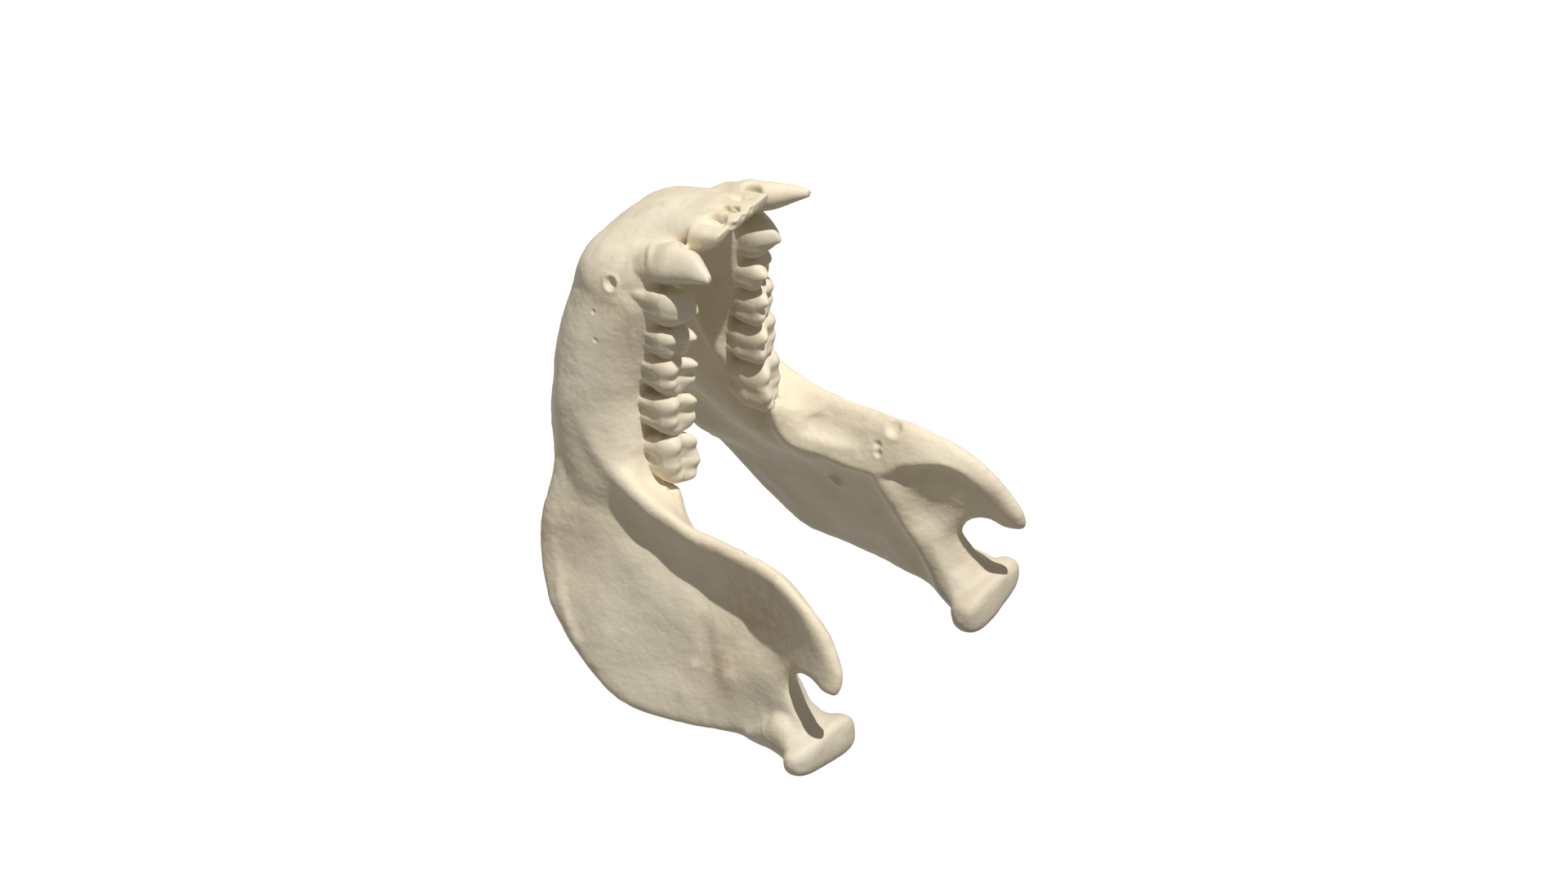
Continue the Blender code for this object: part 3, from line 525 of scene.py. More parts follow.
# The key light, the light for the floor alone (strength, and how wide each is in degrees), and the soft fill
KEY_DIRECTION = (0.07, -0.925, 0.40)
KEY_LIGHT = (3.5, 1.0)
FLOOR_LIGHT = (2.9, 5.0)
FILL_COLOUR = (1.0, 0.97, 0.93, 1.0)
FILL_STRENGTH = 0.24
FLOOR_HALF_SIZE = 6.0


def smoothstep(value, low, high):
    t = np.clip((value - low) / (high - low), 0.0, 1.0)
    return t * t * (3.0 - 2.0 * t)


def curve_through(points, step, closed=False):
    """A Catmull-Rom curve through the points, with a point about every step."""
    points = np.asarray(points, float)
    count = len(points)
    out = []
    for i in range(count if closed else count - 1):
        if closed:
            a, b, c, d = (points[(i + k) % count] for k in (-1, 0, 1, 2))
        else:
            a, b, c, d = (points[min(max(i + k, 0), count - 1)] for k in (-1, 0, 1, 2))
        pieces = max(1, int(round(np.linalg.norm(c - b) / step)))
        for t in np.arange(pieces) / pieces:
            bend = (2 * a - 5 * b + 4 * c - d) * t**2 + (3 * b - 3 * c + d - a) * t**3
            out.append(0.5 * (2 * b + (c - a) * t + bend))
    if not closed:
        out.append(points[-1])
    return np.array(out)


def smooth_table(positions, values, at):
    """Reads a table of values by a smooth curve that doesn't overshoot."""
    positions = np.asarray(positions, float)
    values = np.asarray(values, float)
    slopes = np.gradient(values, positions)
    i = int(np.clip(np.searchsorted(positions, at) - 1, 0, len(positions) - 2))
    step = positions[i + 1] - positions[i]
    t = np.clip((at - positions[i]) / step, 0.0, 1.0)
    rise = (values[i + 1] - values[i]) / step
    limits = [np.clip(s, min(0.0, 3 * rise), max(0.0, 3 * rise)) for s in (slopes[i], slopes[i + 1])]
    return (
        (2 * t**3 - 3 * t**2 + 1) * values[i]
        + (t**3 - 2 * t**2 + t) * step * limits[0]
        + (3 * t**2 - 2 * t**3) * values[i + 1]
        + (t**3 - t**2) * step * limits[1]
    )


def line_distance(points, line):
    """Distance of each point to an open line, and how far along the line the nearest spot is, 0 to 1."""
    points = np.asarray(points, float)
    line = np.asarray(line, float)
    lengths = np.linalg.norm(line[1:] - line[:-1], axis=1)
    ends = np.concatenate([[0.0], np.cumsum(lengths)])
    best = np.full(len(points), np.inf)
    along = np.zeros(len(points))
    for a, b, start, length in zip(line[:-1], line[1:], ends[:-1], lengths):
        t = np.clip(((points - a) @ (b - a)) / length**2, 0.0, 1.0)
        d = np.linalg.norm(points - a - t[:, None] * (b - a), axis=1)
        near = d < best
        best = np.where(near, d, best)
        along = np.where(near, (start + t * length) / ends[-1], along)
    return best, along


def superellipse(angle, half_x, half_y, power):
    c, s = math.cos(angle), math.sin(angle)
    r = (abs(c / half_x) ** power + abs(s / half_y) ** power) ** (-1.0 / power)
    return r * c, r * s


def round_angles(count):
    return np.linspace(0.0, 2 * math.pi, count + 1)[:-1]


def new_object(name, vertices, faces):
    """A closed mesh whose faces look outward."""
    mesh = bpy.data.meshes.new(name)
    mesh.from_pydata([tuple(map(float, v)) for v in vertices], [], [tuple(map(int, f)) for f in faces])
    obj = bpy.data.objects.new(name, mesh)
    bpy.context.scene.collection.objects.link(obj)
    work = bmesh.new()
    work.from_mesh(mesh)
    bmesh.ops.delete(work, geom=[v for v in work.verts if not v.link_faces], context="VERTS")
    bmesh.ops.recalc_face_normals(work, faces=work.faces)
    if work.calc_volume(signed=True) < 0:
        bmesh.ops.reverse_faces(work, faces=work.faces)
    work.to_mesh(mesh)
    work.free()
    return obj


def loft(name, rings):
    """A closed body through rings of equal point counts, capped at both ends."""
    rings = np.asarray(rings, float)
    count, around, _ = rings.shape
    faces = []
    for i in range(count - 1):
        for j in range(around):
            k = (j + 1) % around
            faces.append((i * around + j, i * around + k, (i + 1) * around + k, (i + 1) * around + j))
    vertices = list(rings.reshape(-1, 3))
    for ring in (0, count - 1):
        centre = len(vertices)
        vertices.append(rings[ring].mean(axis=0))
        for j in range(around):
            faces.append((ring * around + j, ring * around + (j + 1) % around, centre))
    return new_object(name, vertices, faces)


# The body of the jaw


def wall_point(q, z, outer):
    """A point of one wall. q is 0 at the midline, 1 where the straight leg starts, 2 at its end."""
    column = 3 if outer else 4
    arc_end = OUTER_ARC_END_Y if outer else INNER_ARC_END_Y
    if q < 1.0:
        front = smooth_table(HEIGHTS, FRONT_OUTER_Y if outer else FRONT_INNER_Y, z)
        side = smooth_table(HEIGHTS, LEG[0][column] if outer else LEG[1][column], z)
        power = 2.0 / smooth_table(HEIGHTS, ARC_SQUARENESS, z)
        turn = q * math.pi / 2
        ahead = (front - arc_end) * max(0.0, math.cos(turn)) ** power
        return side * math.sin(turn) ** power, arc_end + ahead
    y = arc_end + (q - 1.0) * (LEG[-1][0] - arc_end)
    xs = [smooth_table(HEIGHTS, row[column], z) for row in LEG]
    return smooth_table([row[0] for row in LEG], xs, y), y


def body_heights(q):
    """Base and top of the body of the jaw at q."""
    if q < 1.0:
        base = FRONT_BASE + smoothstep(q, 0.0, 1.0) * (LEG[0][1] - FRONT_BASE)
        top = FRONT_TOP + smoothstep(q, *RIM_FALL) * (LEG[0][2] - FRONT_TOP)
        return base, top
    y = OUTER_ARC_END_Y + (q - 1.0) * (LEG[-1][0] - OUTER_ARC_END_Y)
    ys = [row[0] for row in LEG]
    return tuple(smooth_table(ys, [row[k] for row in LEG], y) for k in (1, 2))


def make_body():
    qs = np.concatenate([np.linspace(0.0, 1.0, ARC_STEPS + 1), np.linspace(1.0, 2.0, LEG_STEPS + 1)[1:]])
    up = (1.0 - np.cos(np.linspace(0.0, math.pi, WALL_STEPS + 1))) / 2
    rings = []
    for side, q in [(-1, q) for q in qs[::-1]] + [(1, q) for q in qs[1:]]:
        base, top = body_heights(q)
        ring = []
        for face, heights in ((1, up), (-1, up[::-1][1:-1])):
            for v in heights:
                z = base + v * (top - base)
                outer = np.array(wall_point(q, z, True))
                inner = np.array(wall_point(q, z, False))
                bulge = max(0.0, 1.0 - abs(2.0 * v - 1.0) ** WALL_ROUNDING) ** (1.0 / WALL_ROUNDING)
                x, y = (outer + inner) / 2 + face * (outer - inner) / 2 * bulge
                ring.append((side * x, y, z))
        rings.append(ring)
    return loft("body", rings)


# The rami


def thin_plate(points, values):
    """A smooth surface through scattered values, as a function of (y, z)."""
    points = np.asarray(points, float)
    count = len(points)

    def kernel(r):
        return np.where(r > 0.0, r**2 * np.log(np.maximum(r, 1e-9)), 0.0)

    r = np.linalg.norm(points[:, None] - points[None], axis=2)
    flat = np.hstack([np.ones((count, 1)), points])
    system = np.block([[kernel(r) + PLATE_STIFFNESS * np.eye(count), flat], [flat.T, np.zeros((3, 3))]])
    weights = np.linalg.solve(system, np.concatenate([values, np.zeros(3)]))

    def surface(at):
        r = np.linalg.norm(at[:, None] - points[None], axis=2)
        return kernel(r) @ weights[:count] + weights[count] + at @ weights[count + 1 :]

    return surface


def ridge_height(points, ridge, front_edge=None):
    """How far the inner face stands in beside a ridge. In front it falls, or slopes to an edge if given."""
    rows = curve_through(ridge, OUTLINE_STEP)
    distance, along = line_distance(points, rows[:, :2])
    ends = np.concatenate([[0.0], np.cumsum(np.linalg.norm(np.diff(rows[:, :2], axis=0), axis=1))])
    stops = ends / ends[-1]

    def row_at(share):
        share = np.clip(share, 0.0, 1.0)
        return np.column_stack([np.interp(share, stops, rows[:, k]) for k in range(rows.shape[1])])

    nearest = row_at(along)
    way = row_at(along + 0.01)[:, :2] - row_at(along - 0.01)[:, :2]
    away = points - nearest[:, :2]
    in_front = way[:, 0] * away[:, 1] - way[:, 1] * away[:, 0] > 0
    if front_edge is None:
        before = np.exp(-((distance / nearest[:, 3]) ** 2))
    else:
        to_edge = line_distance(points, front_edge)[0]
        before = to_edge / np.maximum(to_edge + distance, 1e-6)
    behind = np.exp(-((distance / nearest[:, 4]) ** 2))
    return nearest[:, 2] * np.where(in_front, before, behind)


def make_ramus(side):
    """A plate between two curved faces that meet along its edge."""
    edge = curve_through(RAMUS_EDGE, OUTLINE_STEP, closed=True)
    control = np.array(RAMUS_EDGE + RAMUS_MIDDLE)
    middle = thin_plate(control[:, 1:], control[:, 0])
    outline = edge[:, 1:]
    count = len(outline)
    loop = np.vstack([outline, outline[:1]])
    ys = np.arange(outline[:, 0].min(), outline[:, 0].max(), OUTLINE_STEP)
    zs = np.arange(outline[:, 1].min(), outline[:, 1].max(), OUTLINE_STEP)
    grid = np.array([(y, z) for y in ys for z in zs])
    grid = grid[line_distance(grid, loop)[0] > 0.6 * OUTLINE_STEP]
    flat = [tuple(p) for p in np.vstack([outline, grid])]
    edges = [(i, (i + 1) % count) for i in range(count)]
    points, _, faces, _, _, _ = delaunay_2d_cdt(flat, edges, [], 1, 1e-4)
    points = np.array([tuple(p) for p in points])
    gap = line_distance(points, loop)[0]
    gap[gap < 1e-3] = 0.0
    inward = np.minimum(gap / EDGE_ROUNDING, 1.0)
    middle_x = middle(points)
    half = RAMUS_HALF_THICKNESS * np.sqrt(1.0 - (1.0 - inward) ** 2)
    front_edge = outline[: np.argmax(outline[:, 1]) + 1]
    crest = np.maximum(ridge_height(points, TEMPORAL_CREST, front_edge), ridge_height(points, PILLAR))
    crest *= inward
    sheets = [np.column_stack([side * (middle_x + lift), points]) for lift in (half, -half - crest)]
    twin = np.where(gap == 0.0, np.arange(len(points)), np.arange(len(points)) + len(points))
    back = [tuple(int(twin[i]) for i in f[::-1]) for f in faces]
    return new_object("ramus", np.vstack(sheets), [tuple(f) for f in faces] + back)


def make_condyle(side):
    """The joint surface: a bar across the neck, thicker at its inner end."""
    inner = np.array(CONDYLE_INNER + CONDYLE_HALF_INNER)
    outer = np.array(CONDYLE_OUTER + CONDYLE_HALF_OUTER)
    rings = []
    for t in np.linspace(0.0, 1.0, BAR_STEPS + 1):
        x, y, z, deep, high = inner + t * (outer - inner)
        swell = max(1e-3, 1.0 - abs(2.0 * t - 1.0) ** CONDYLE_END_SQUARENESS)
        swell **= 1.0 / CONDYLE_END_ROUNDING
        half = (deep * swell, high * swell)
        spots = [superellipse(a, *half, CONDYLE_SQUARENESS) for a in round_angles(JOINT_SIDES)]
        rings.append([(side * x, y + dy, z + dz) for dy, dz in spots])
    return loft("condyle", rings)


def make_neck(side):
    rings = []
    for x, y, z, half_x, half_y in curve_through(NECK, LOFT_STEP):
        spots = [superellipse(a, half_x, half_y, NECK_SQUARENESS) for a in round_angles(JOINT_SIDES)]
        rings.append([(side * (x + dx), y + dy, z) for dx, dy in spots])
    return loft("neck", rings)


# The teeth


def crown_height(xs, ys, scale, centre, size, floor, tilt, cusps):
    """Height of a crown's top: a floor that leans to the cheek, cusps, fissures and a rolled edge."""
    length, breadth = size
    across = (xs - centre[0]) / (breadth / 2)
    along = (ys - centre[1] + TOOTH_SKEW * across) / (length / 2)
    base = floor - tilt * across / 2
    swell = np.zeros(len(xs))
    for x, y, tip, reach in cusps:
        distance = np.hypot(xs - x, ys - y)
        swell += (np.maximum(tip - base, 0.0) * np.exp(-((distance / reach) ** 2))) ** 3
    for first, second in ((cusps[0], cusps[1]), (cusps[2], cusps[3])):
        distance, share = line_distance(np.column_stack([xs, ys]), [first[:2], second[:2]])
        ridge = first[2] + share * (second[2] - first[2]) - CUSP_RIDGE_DROP
        swell += (np.maximum(ridge - base, 0.0) * np.exp(-((distance / CUSP_RIDGE_REACH) ** 2))) ** 3
    fissures = sum(np.exp(-((d / width) ** 2)) for d, width in zip((across, along), FISSURE_WIDTHS))
    drop = CROWN_EDGE_DROP * (0.35 + 0.65 * np.abs(across)) * scale ** (9.0 - 4.5 * across)
    return base + np.cbrt(swell) - FISSURE_DEPTH * fissures * (1.0 - scale**4) - drop


def make_cheek_tooth(side, centre, size, heights, tilt, fork, cusps):
    """Roots that part below the neck, a crown wall, and a top that swells into cusps."""
    length, breadth = size
    neck, floor = heights
    angles = round_angles(CHEEK_TOOTH_SIDES)
    outline = np.array([superellipse(a, breadth / 2, length / 2, CROWN_SQUARENESS) for a in angles])
    skew = TOOTH_SKEW * outline[:, 0] / (breadth / 2)
    # The groove between two roots runs down the middle of the tooth's cheek and tongue sides
    groove = np.exp(-((np.sin(angles) / 0.3) ** 2))
    rings = []
    for level, across, along, depth in ROOT_LEVELS:
        outward = ROOT_OUTWARD * (CROWN_FOOT - level) / ROOT_DEPTH
        xs = outline[:, 0] * across * (1.0 - fork * depth * groove) + centre[0] + outward
        ys = outline[:, 1] * along - skew * across + centre[1]
        zs = neck + level + NECK_LEAN * outline[:, 0] / (breadth / 2)
        rings.append([(side * x, y, z) for x, y, z in zip(xs, ys, zs)])
    for scale in CROWN_RINGS:
        xs = outline[:, 0] * scale * (1.0 - CROWN_GROOVE * fork * groove) + centre[0]
        ys = (outline[:, 1] - skew) * scale + centre[1]
        tops = crown_height(xs, ys, scale, centre, size, floor, tilt, cusps)
        rings.append([(side * x, y, z) for x, y, z in zip(xs, ys, tops)])
    return loft("cheek tooth", rings)


def make_canine(side):
    rings = []
    for x, y, z, long, wide in curve_through(CANINE, LOFT_STEP):
        ring = []
        for a in round_angles(CANINE_SIDES):
            u, v = superellipse(a, long, wide, CANINE_SQUARENESS)
            dx = u * math.cos(CANINE_TURN) - v * math.sin(CANINE_TURN)
            dy = u * math.sin(CANINE_TURN) + v * math.cos(CANINE_TURN)
            ring.append((side * (x + dx), y + dy, z))
        rings.append(ring)
    return loft("canine", rings)


def make_incisor(side, x, y, edge, width):
    """A short chisel crown whose front is flush with the bone below it."""
    narrow, wide = INCISOR_HALF_WIDTHS
    foot, thin, lost = INCISOR_DEPTHS
    rings = []
    for t in np.linspace(0.0, 1.0, BAR_STEPS + 1):
        z = INCISOR_FOOT + t * (edge - INCISOR_FOOT)
        wear = max(0.0, t - INCISOR_WORN_FROM) / INCISOR_WEAR_LENGTH
        worn = math.sqrt(1.0 - wear**2)
        half_x = width * (narrow + (wide - narrow) * worn)
        half_y = foot * (1.0 - t) ** INCISOR_TAPER + thin + lost * worn
        centre = y + half_y + 1.0 - INCISOR_LEAN * t**INCISOR_TAPER
        spots = [superellipse(a, half_x, half_y, INCISOR_SQUARENESS) for a in round_angles(INCISOR_SIDES)]
        rings.append([(side * (x + dx), centre + dy, z) for dx, dy in spots])
    return loft("incisor", rings)


# Joining and shaping


def apply_modifiers(obj):
    graph = bpy.context.evaluated_depsgraph_get()
    mesh = bpy.data.meshes.new_from_object(obj.evaluated_get(graph))
    obj.modifiers.clear()
    obj.data = mesh


def join_forms(base, others):
    """Unites closed bodies into one."""
    pieces = bpy.data.collections.new("pieces")
    bpy.context.scene.collection.children.link(pieces)
    for obj in others:
        pieces.objects.link(obj)
    union = base.modifiers.new("one body", "BOOLEAN")
    union.operation = "UNION"
    union.operand_type = "COLLECTION"
    union.collection = pieces
    union.solver = "MANIFOLD"
    apply_modifiers(base)
    for obj in others:
        bpy.data.objects.remove(obj)
    bpy.data.collections.remove(pieces)
    return base


def even_skin(obj, voxel, rounds):
    remesh = obj.modifiers.new("one skin", "REMESH")
    remesh.mode = "VOXEL"
    remesh.voxel_size = voxel
    smooth = obj.modifiers.new("soften", "SMOOTH")
    smooth.iterations = rounds
    apply_modifiers(obj)


def read_vertices(obj, value):
    out = np.empty(len(obj.data.vertices) * 3)
    obj.data.vertices.foreach_get(value, out)
    return out.reshape(-1, 3)


def folded_places(obj):
    """The vertices' places, with the right side mirrored onto the left."""
    places = read_vertices(obj, "co")
    places[:, 0] = np.abs(places[:, 0])
    return places


def melt(obj, melts):
    """Smooths the lines where forms meet."""
    places = folded_places(obj)
    for centre, reach, rounds in melts:
        group = obj.vertex_groups.new(name="melt")
        distance = np.linalg.norm(places - np.array(centre), axis=1)
        weight = 1.0 - smoothstep(distance, 0.5 * reach, reach)
        for i in np.flatnonzero(weight > 0.0):
            group.add([int(i)], float(weight[i]), "REPLACE")
        smooth = obj.modifiers.new("melt", "SMOOTH")
        smooth.iterations = rounds
        smooth.vertex_group = group.name
        apply_modifiers(obj)
        obj.vertex_groups.clear()


def push(obj, lift):
    """Moves each vertex out along its normal."""
    places = read_vertices(obj, "co") + lift[:, None] * read_vertices(obj, "normal")
    obj.data.vertices.foreach_set("co", places.ravel())
    obj.data.update()


def mark_lift(obj, marks):
    """How far each vertex is moved by lines drawn on the left half's skin, and the same on the right."""
    places = read_vertices(obj, "co")
    normals = read_vertices(obj, "normal")
    tree = BVHTree.FromObject(obj, bpy.context.evaluated_depsgraph_get())
    lift = np.zeros(len(places))
    for side in (1, -1):
        for line, reach, heights in marks.values():
            spots = curve_through([(side * x, y, z) for x, y, z in line], MARK_STEP)
            found = [tree.find_nearest(Vector(spot)) for spot in spots]
            snapped = np.array([tuple(place) for place, _, _, _ in found])
            facing = np.array([tuple(normal) for _, normal, _, _ in found])
            distance, along = line_distance(places, snapped)
            near = distance < 3.0 * reach
            index = np.clip((along * (len(snapped) - 1)).round().astype(int), 0, len(snapped) - 1)
            same_side = np.clip(2.0 * np.sum(normals * facing[index], axis=1), 0.0, 1.0)
            height = np.interp(along, np.linspace(0.0, 1.0, len(heights)), heights)
            lift += np.where(near, height * same_side * np.exp(-((distance / reach) ** 2)), 0.0)
    return lift


def pit_lift(obj, pits):
    """How far each vertex is moved by hollows with a low rim, on both sides of the jaw."""
    places = read_vertices(obj, "co")
    normals = read_vertices(obj, "normal")
    tree = BVHTree.FromObject(obj, bpy.context.evaluated_depsgraph_get())
    lift = np.zeros(len(places))
    for side in (1, -1):
        for (x, y, z), radius, depth, rim in pits.values():
            place, facing, _, _ = tree.find_nearest(Vector((side * x, y, z)))
            distance = np.linalg.norm(places - np.array(place), axis=1) / radius
            same_side = np.clip(2.0 * normals @ np.array(facing), 0.0, 1.0)
            rise = rim * np.exp(-(((distance - PIT_RIM_AT) / PIT_RIM_WIDTH) ** 2))
            lift += same_side * (rise - depth * np.exp(-(distance**4)))
    return lift


def make_waves(obj, share):
    """Gives the skin a gentle, uneven surface, as strong at each vertex as its share."""
    group = obj.vertex_groups.new(name="waves")
    steps = np.round(share * WAVE_STEPS).astype(int)
    for step in range(1, WAVE_STEPS + 1):
        group.add([int(i) for i in np.flatnonzero(steps == step)], step / WAVE_STEPS, "REPLACE")
    for size, depth, octaves in WAVES:
        texture = bpy.data.textures.new("waves", "CLOUDS")
        texture.noise_scale = size
        texture.noise_depth = octaves
        waves = obj.modifiers.new("waves", "DISPLACE")
        waves.texture = texture
        waves.texture_coords = "LOCAL"
        waves.strength = 2.0 * depth
        waves.mid_level = 0.5
        waves.vertex_group = group.name
    apply_modifiers(obj)
    obj.vertex_groups.clear()


# Materials


def bone_material():
    material = bpy.data.materials.new("dry bone")
    material.use_nodes = True
    tree = material.node_tree
    nodes, links = tree.nodes, tree.links
    shader = nodes["Principled BSDF"]
    shader.inputs["Roughness"].default_value = BONE_ROUGHNESS
    shader.inputs["Metallic"].default_value = 0.0
    shader.inputs["Specular IOR Level"].default_value = BONE_SPECULAR
    place = nodes.new("ShaderNodeTexCoord")

    def noise(scale, detail, roughness):
        texture = nodes.new("ShaderNodeTexNoise")
        texture.inputs["Scale"].default_value = scale
        texture.inputs["Detail"].default_value = detail
        texture.inputs["Roughness"].default_value = roughness
        links.new(place.outputs["Object"], texture.inputs["Vector"])
        return texture.outputs["Fac"]

    def ramp(value, low, high, most=1.0):
        node = nodes.new("ShaderNodeMapRange")
        node.inputs["From Min"].default_value = low
        node.inputs["From Max"].default_value = high
        node.inputs["To Max"].default_value = most
        links.new(value, node.inputs["Value"])
        return node.outputs["Result"]

    def mix(share, first, second):
        node = nodes.new("ShaderNodeMix")
        node.data_type = "RGBA"
        links.new(share, node.inputs["Factor"])
        for socket, value in ((node.inputs[6], first), (node.inputs[7], second)):
            if isinstance(value, tuple):
                socket.default_value = value
            else:
                links.new(value, socket)
        return node.outputs[2]

    def attribute(name):
        node = nodes.new("ShaderNodeAttribute")
        node.attribute_name = name
        return node.outputs["Fac"]

    colour = mix(ramp(noise(*CLOUDS), 0.42, 0.66), CREAM, PALE)
    colour = mix(ramp(noise(*GREY_CLOUDS), 0.5, 0.72, 0.55), colour, GREY_BEIGE)
    colour = mix(ramp(noise(*TAN_SPECKS), 0.58, 0.78, 0.4), colour, TAN)
    # A paler, more neutral tone, partly painted light on the outer faces the key light only grazes
    colour = mix(ramp(attribute("pale"), 0.0, 1.0, 0.6), colour, PALE_TONE_AND_PAINTED_LIGHT)
    # Painted shade: the joints are darkened towards beige where their tops turn from the key light
    colour = mix(attribute("joint_shade"), colour, GREY_BEIGE)
    colour = mix(ramp(attribute("tooth"), 0.0, 1.0, 0.6), colour, ENAMEL)
    patches = nodes.new("ShaderNodeMath")
    patches.operation = "MULTIPLY"
    links.new(attribute("stain"), patches.inputs[0])
    links.new(ramp(noise(*STAIN_PATCHES), 0.38, 0.62), patches.inputs[1])
    colour = mix(patches.outputs[0], colour, TAN)
    links.new(colour, shader.inputs["Base Color"])

    bump = nodes.new("ShaderNodeBump")
    bump.inputs["Strength"].default_value = GRAIN_STRENGTH
    bump.inputs["Distance"].default_value = GRAIN_DEPTH
    links.new(noise(*GRAIN), bump.inputs["Height"])
    links.new(bump.outputs["Normal"], shader.inputs["Normal"])
    return material


def floor_material():
    material = bpy.data.materials.new("pale floor")
    material.use_nodes = True
    shader = material.node_tree.nodes["Principled BSDF"]
    shader.inputs["Base Color"].default_value = FLOOR_WHITE
    shader.inputs["Roughness"].default_value = FLOOR_ROUGHNESS
    return material


# The bone


def make_bone():
    forms = []
    for side in (1, -1):
        forms += [make_ramus(side), make_condyle(side), make_neck(side)]
    jaw = join_forms(make_body(), forms)
    even_skin(jaw, BONE_VOXEL, BONE_SOFTENING)
    melt(jaw, MELTS)
    push(jaw, mark_lift(jaw, BONE_MARKS))
    push(jaw, pit_lift(jaw, BONE_PITS))
    return jaw


def make_teeth():
    teeth = []
    for side in (1, -1):
        teeth += [make_cheek_tooth(side, **tooth) for tooth in CHEEK_TEETH.values()]
        teeth.append(make_canine(side))
        teeth += [make_incisor(side, *sizes) for sizes in INCISORS]
    return teeth


def near_cheek_teeth(places):
    """1 on the cheek teeth's crowns and 0 on bone."""
    share = np.zeros(len(places))
    for tooth in CHEEK_TEETH.values():
        length, breadth = tooth["size"]
        x = np.abs(places[:, 0] - tooth["centre"][0]) / (0.5 * breadth + 0.8)
        y = np.abs(places[:, 1] - tooth["centre"][1]) / (0.5 * length + 0.8)
        inside = 1.0 - smoothstep(np.maximum(x, y), 0.95, 1.05)
        neck = tooth["heights"][0]
        share = np.maximum(share, inside * smoothstep(places[:, 2], neck, neck + 2.0))
    return share


def near_front_teeth(places):
    """1 on the canines' and incisors' crowns and 0 on bone."""
    canine = np.array([row[:3] for row in CANINE[-5:]])
    share = smoothstep(line_distance(places, canine)[0], *CANINE_REACH)
    share *= smoothstep(places[:, 2], *CANINE_CROWN)
    incisors = smoothstep(places[:, 2], *INCISOR_CROWN) * smoothstep(places[:, 0], *INCISOR_SIDE)
    return np.maximum(share, incisors * (places[:, 1] < INCISOR_BACK))


def spread(points, places):
    """How strongly each point is reached by places with a centre, a reach and a strength."""
    share = np.zeros(len(points))
    for centre, reach, strength in places:
        distance = np.linalg.norm(points - np.array(centre), axis=1)
        share = np.maximum(share, strength * np.exp(-((distance / reach) ** 2)))
    return share


def between_teeth(centre, size, heights, **_):
    """The stained place on a tooth's front face: centre, reach and strength."""
    place = (centre[0] + GAP_STAIN_OFFSET, centre[1] - size[0] / 2, heights[0] + GAP_STAIN_OFFSET)
    return place, GAP_STAIN_REACH, GAP_STAIN_STRENGTH


def add_attribute(obj, name, values):
    layer = obj.data.attributes.new(name, "FLOAT", "POINT")
    layer.data.foreach_set("value", np.asarray(values, np.float32))


def make_jaw():
    jaw = join_forms(make_bone(), make_teeth())
    even_skin(jaw, SKIN_VOXEL, SKIN_SOFTENING)
    melt(jaw, SKIN_MELTS)
    push(jaw, mark_lift(jaw, SKIN_MARKS) + pit_lift(jaw, SKIN_PITS))
    folded = folded_places(jaw)
    tooth = np.maximum(near_cheek_teeth(folded), near_front_teeth(folded))
    base = 1.0 - smoothstep(folded[:, 2], *BASE_HEIGHTS)
    share = WAVES_ABOVE + (WAVES_AT_BASE - WAVES_ABOVE) * base
    make_waves(jaw, share * (1.0 - WAVES_LOST_ON_TEETH * tooth))
    between = tuple(between_teeth(**tooth) for tooth in CHEEK_TEETH.values())
    stain = spread(folded, STAINS + between)
    # Painted shade on the joints
    joint_shade = spread(folded, JOINT_SHADE_PLACES)
    # Paler tone, partly painted light on the outer faces
    pale = spread(folded, PALE_TONE_AND_PAINTED_LIGHT_PLACES)
    outward = read_vertices(jaw, "normal")[:, 0] * np.sign(read_vertices(jaw, "co")[:, 0])
    stain *= smoothstep(outward, *STAINED_FACING)
    x, y, z = BOX_FOOT
    jaw.data.transform(Matrix.Scale(MM, 4) @ Matrix.Translation((-x, -y, -z)))
    add_attribute(jaw, "tooth", tooth)
    add_attribute(jaw, "stain", stain)
    add_attribute(jaw, "joint_shade", joint_shade)
    add_attribute(jaw, "pale", pale)
    jaw.data.shade_smooth()
    jaw.name = "jawbone"
    jaw.data.materials.clear()
    jaw.data.materials.append(bone_material())
    return jaw


# The stage


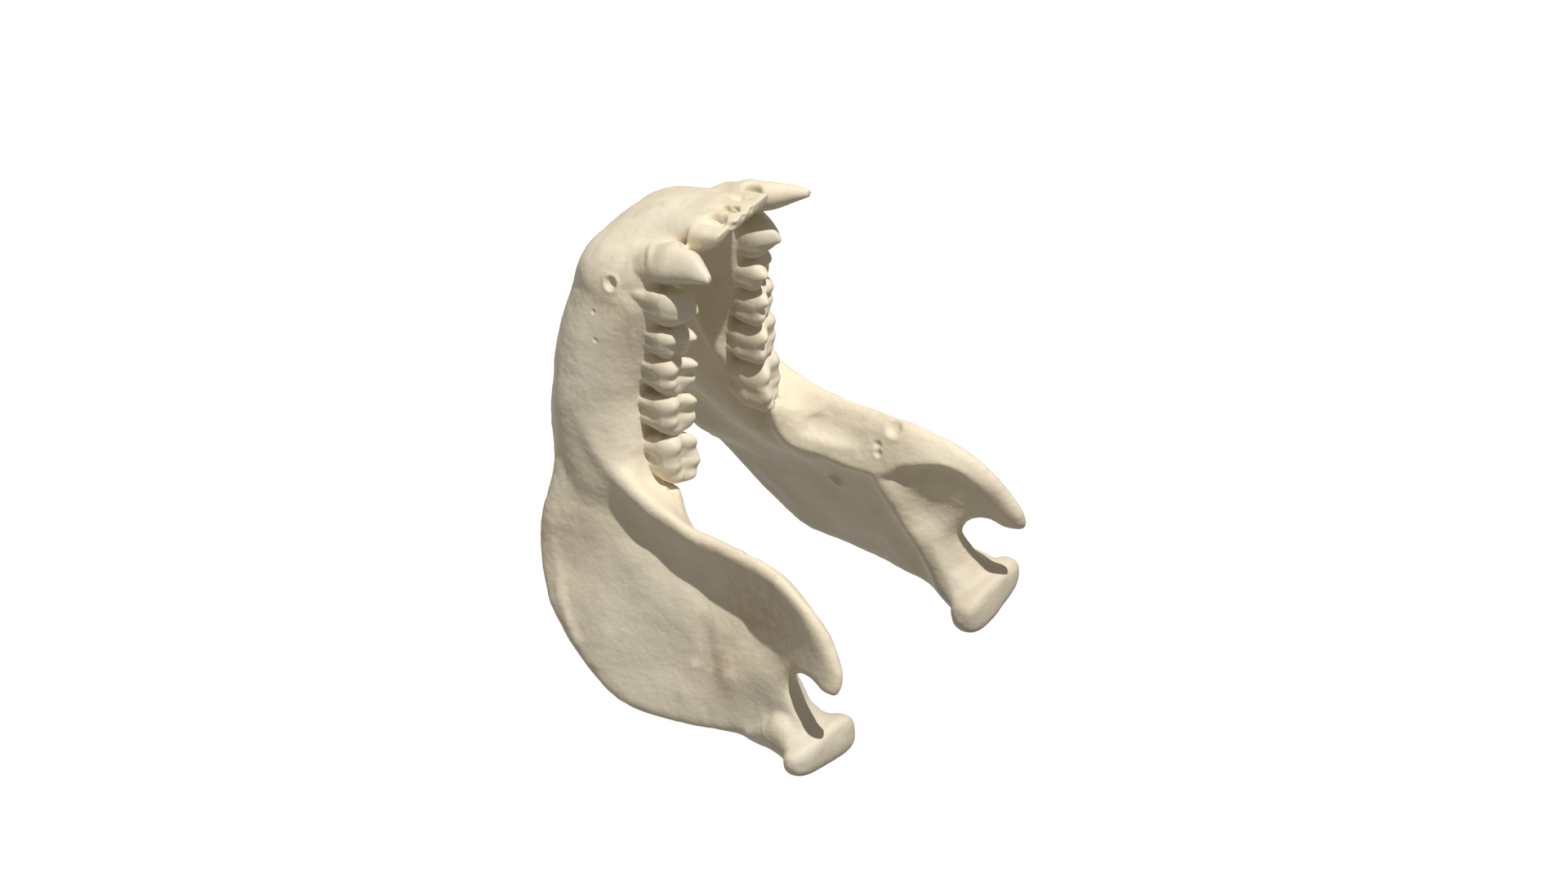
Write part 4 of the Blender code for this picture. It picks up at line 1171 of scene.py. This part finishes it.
def make_floor():
    mesh = bpy.data.meshes.new("floor")
    half = FLOOR_HALF_SIZE
    corners = [(x * half, y * half, 0.0) for x, y in ((-1, -1), (1, -1), (1, 1), (-1, 1))]
    mesh.from_pydata(corners, [], [(0, 1, 2, 3)])
    floor = bpy.data.objects.new("floor", mesh)
    bpy.context.scene.collection.objects.link(floor)
    mesh.materials.append(floor_material())
    # The floor's glare stays off the underside of the bone
    floor.visible_diffuse = False
    return floor


def make_sun(name, direction, strength, width, lit, shadow=True):
    """A distant lamp that lights only the object given."""
    data = bpy.data.lights.new(name, "SUN")
    data.energy = strength
    data.angle = math.radians(width)
    data.use_shadow = shadow
    lamp = bpy.data.objects.new(name, data)
    lamp.rotation_mode = "QUATERNION"
    lamp.rotation_quaternion = Vector(direction).to_track_quat("Z", "Y")
    bpy.context.scene.collection.objects.link(lamp)
    group = bpy.data.collections.new("lit by " + name)
    group.objects.link(lit)
    lamp.light_linking.receiver_collection = group
    return lamp


def make_world():
    world = bpy.data.worlds.new("studio")
    world.use_nodes = True
    background = world.node_tree.nodes["Background"]
    background.inputs["Color"].default_value = FILL_COLOUR
    background.inputs["Strength"].default_value = FILL_STRENGTH
    bpy.context.scene.world = world


def make_camera():
    data = bpy.data.cameras.new("camera")
    data.sensor_width = 36.0
    data.lens = LENS
    data.clip_end = 20.0
    camera = bpy.data.objects.new("camera", data)
    turn = Matrix((VIEW_RIGHT, VIEW_UP, VIEW_BACK)).transposed().to_4x4()
    middle = (Vector(VIEW_MIDDLE) - Vector(BOX_FOOT)) * MM
    camera.matrix_world = Matrix.Translation(middle + Vector(VIEW_BACK) * VIEW_DISTANCE) @ turn
    bpy.context.scene.collection.objects.link(camera)
    bpy.context.scene.camera = camera


def main():
    jaw = make_jaw()
    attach(jaw, "root")
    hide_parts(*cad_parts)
    floor = make_floor()
    make_world()
    make_sun("key", KEY_DIRECTION, *KEY_LIGHT, jaw)
    make_sun("floor light", (0.0, 0.0, 1.0), *FLOOR_LIGHT, floor, shadow=False)
    make_camera()
    bpy.context.scene.view_settings.view_transform = "Standard"


main()
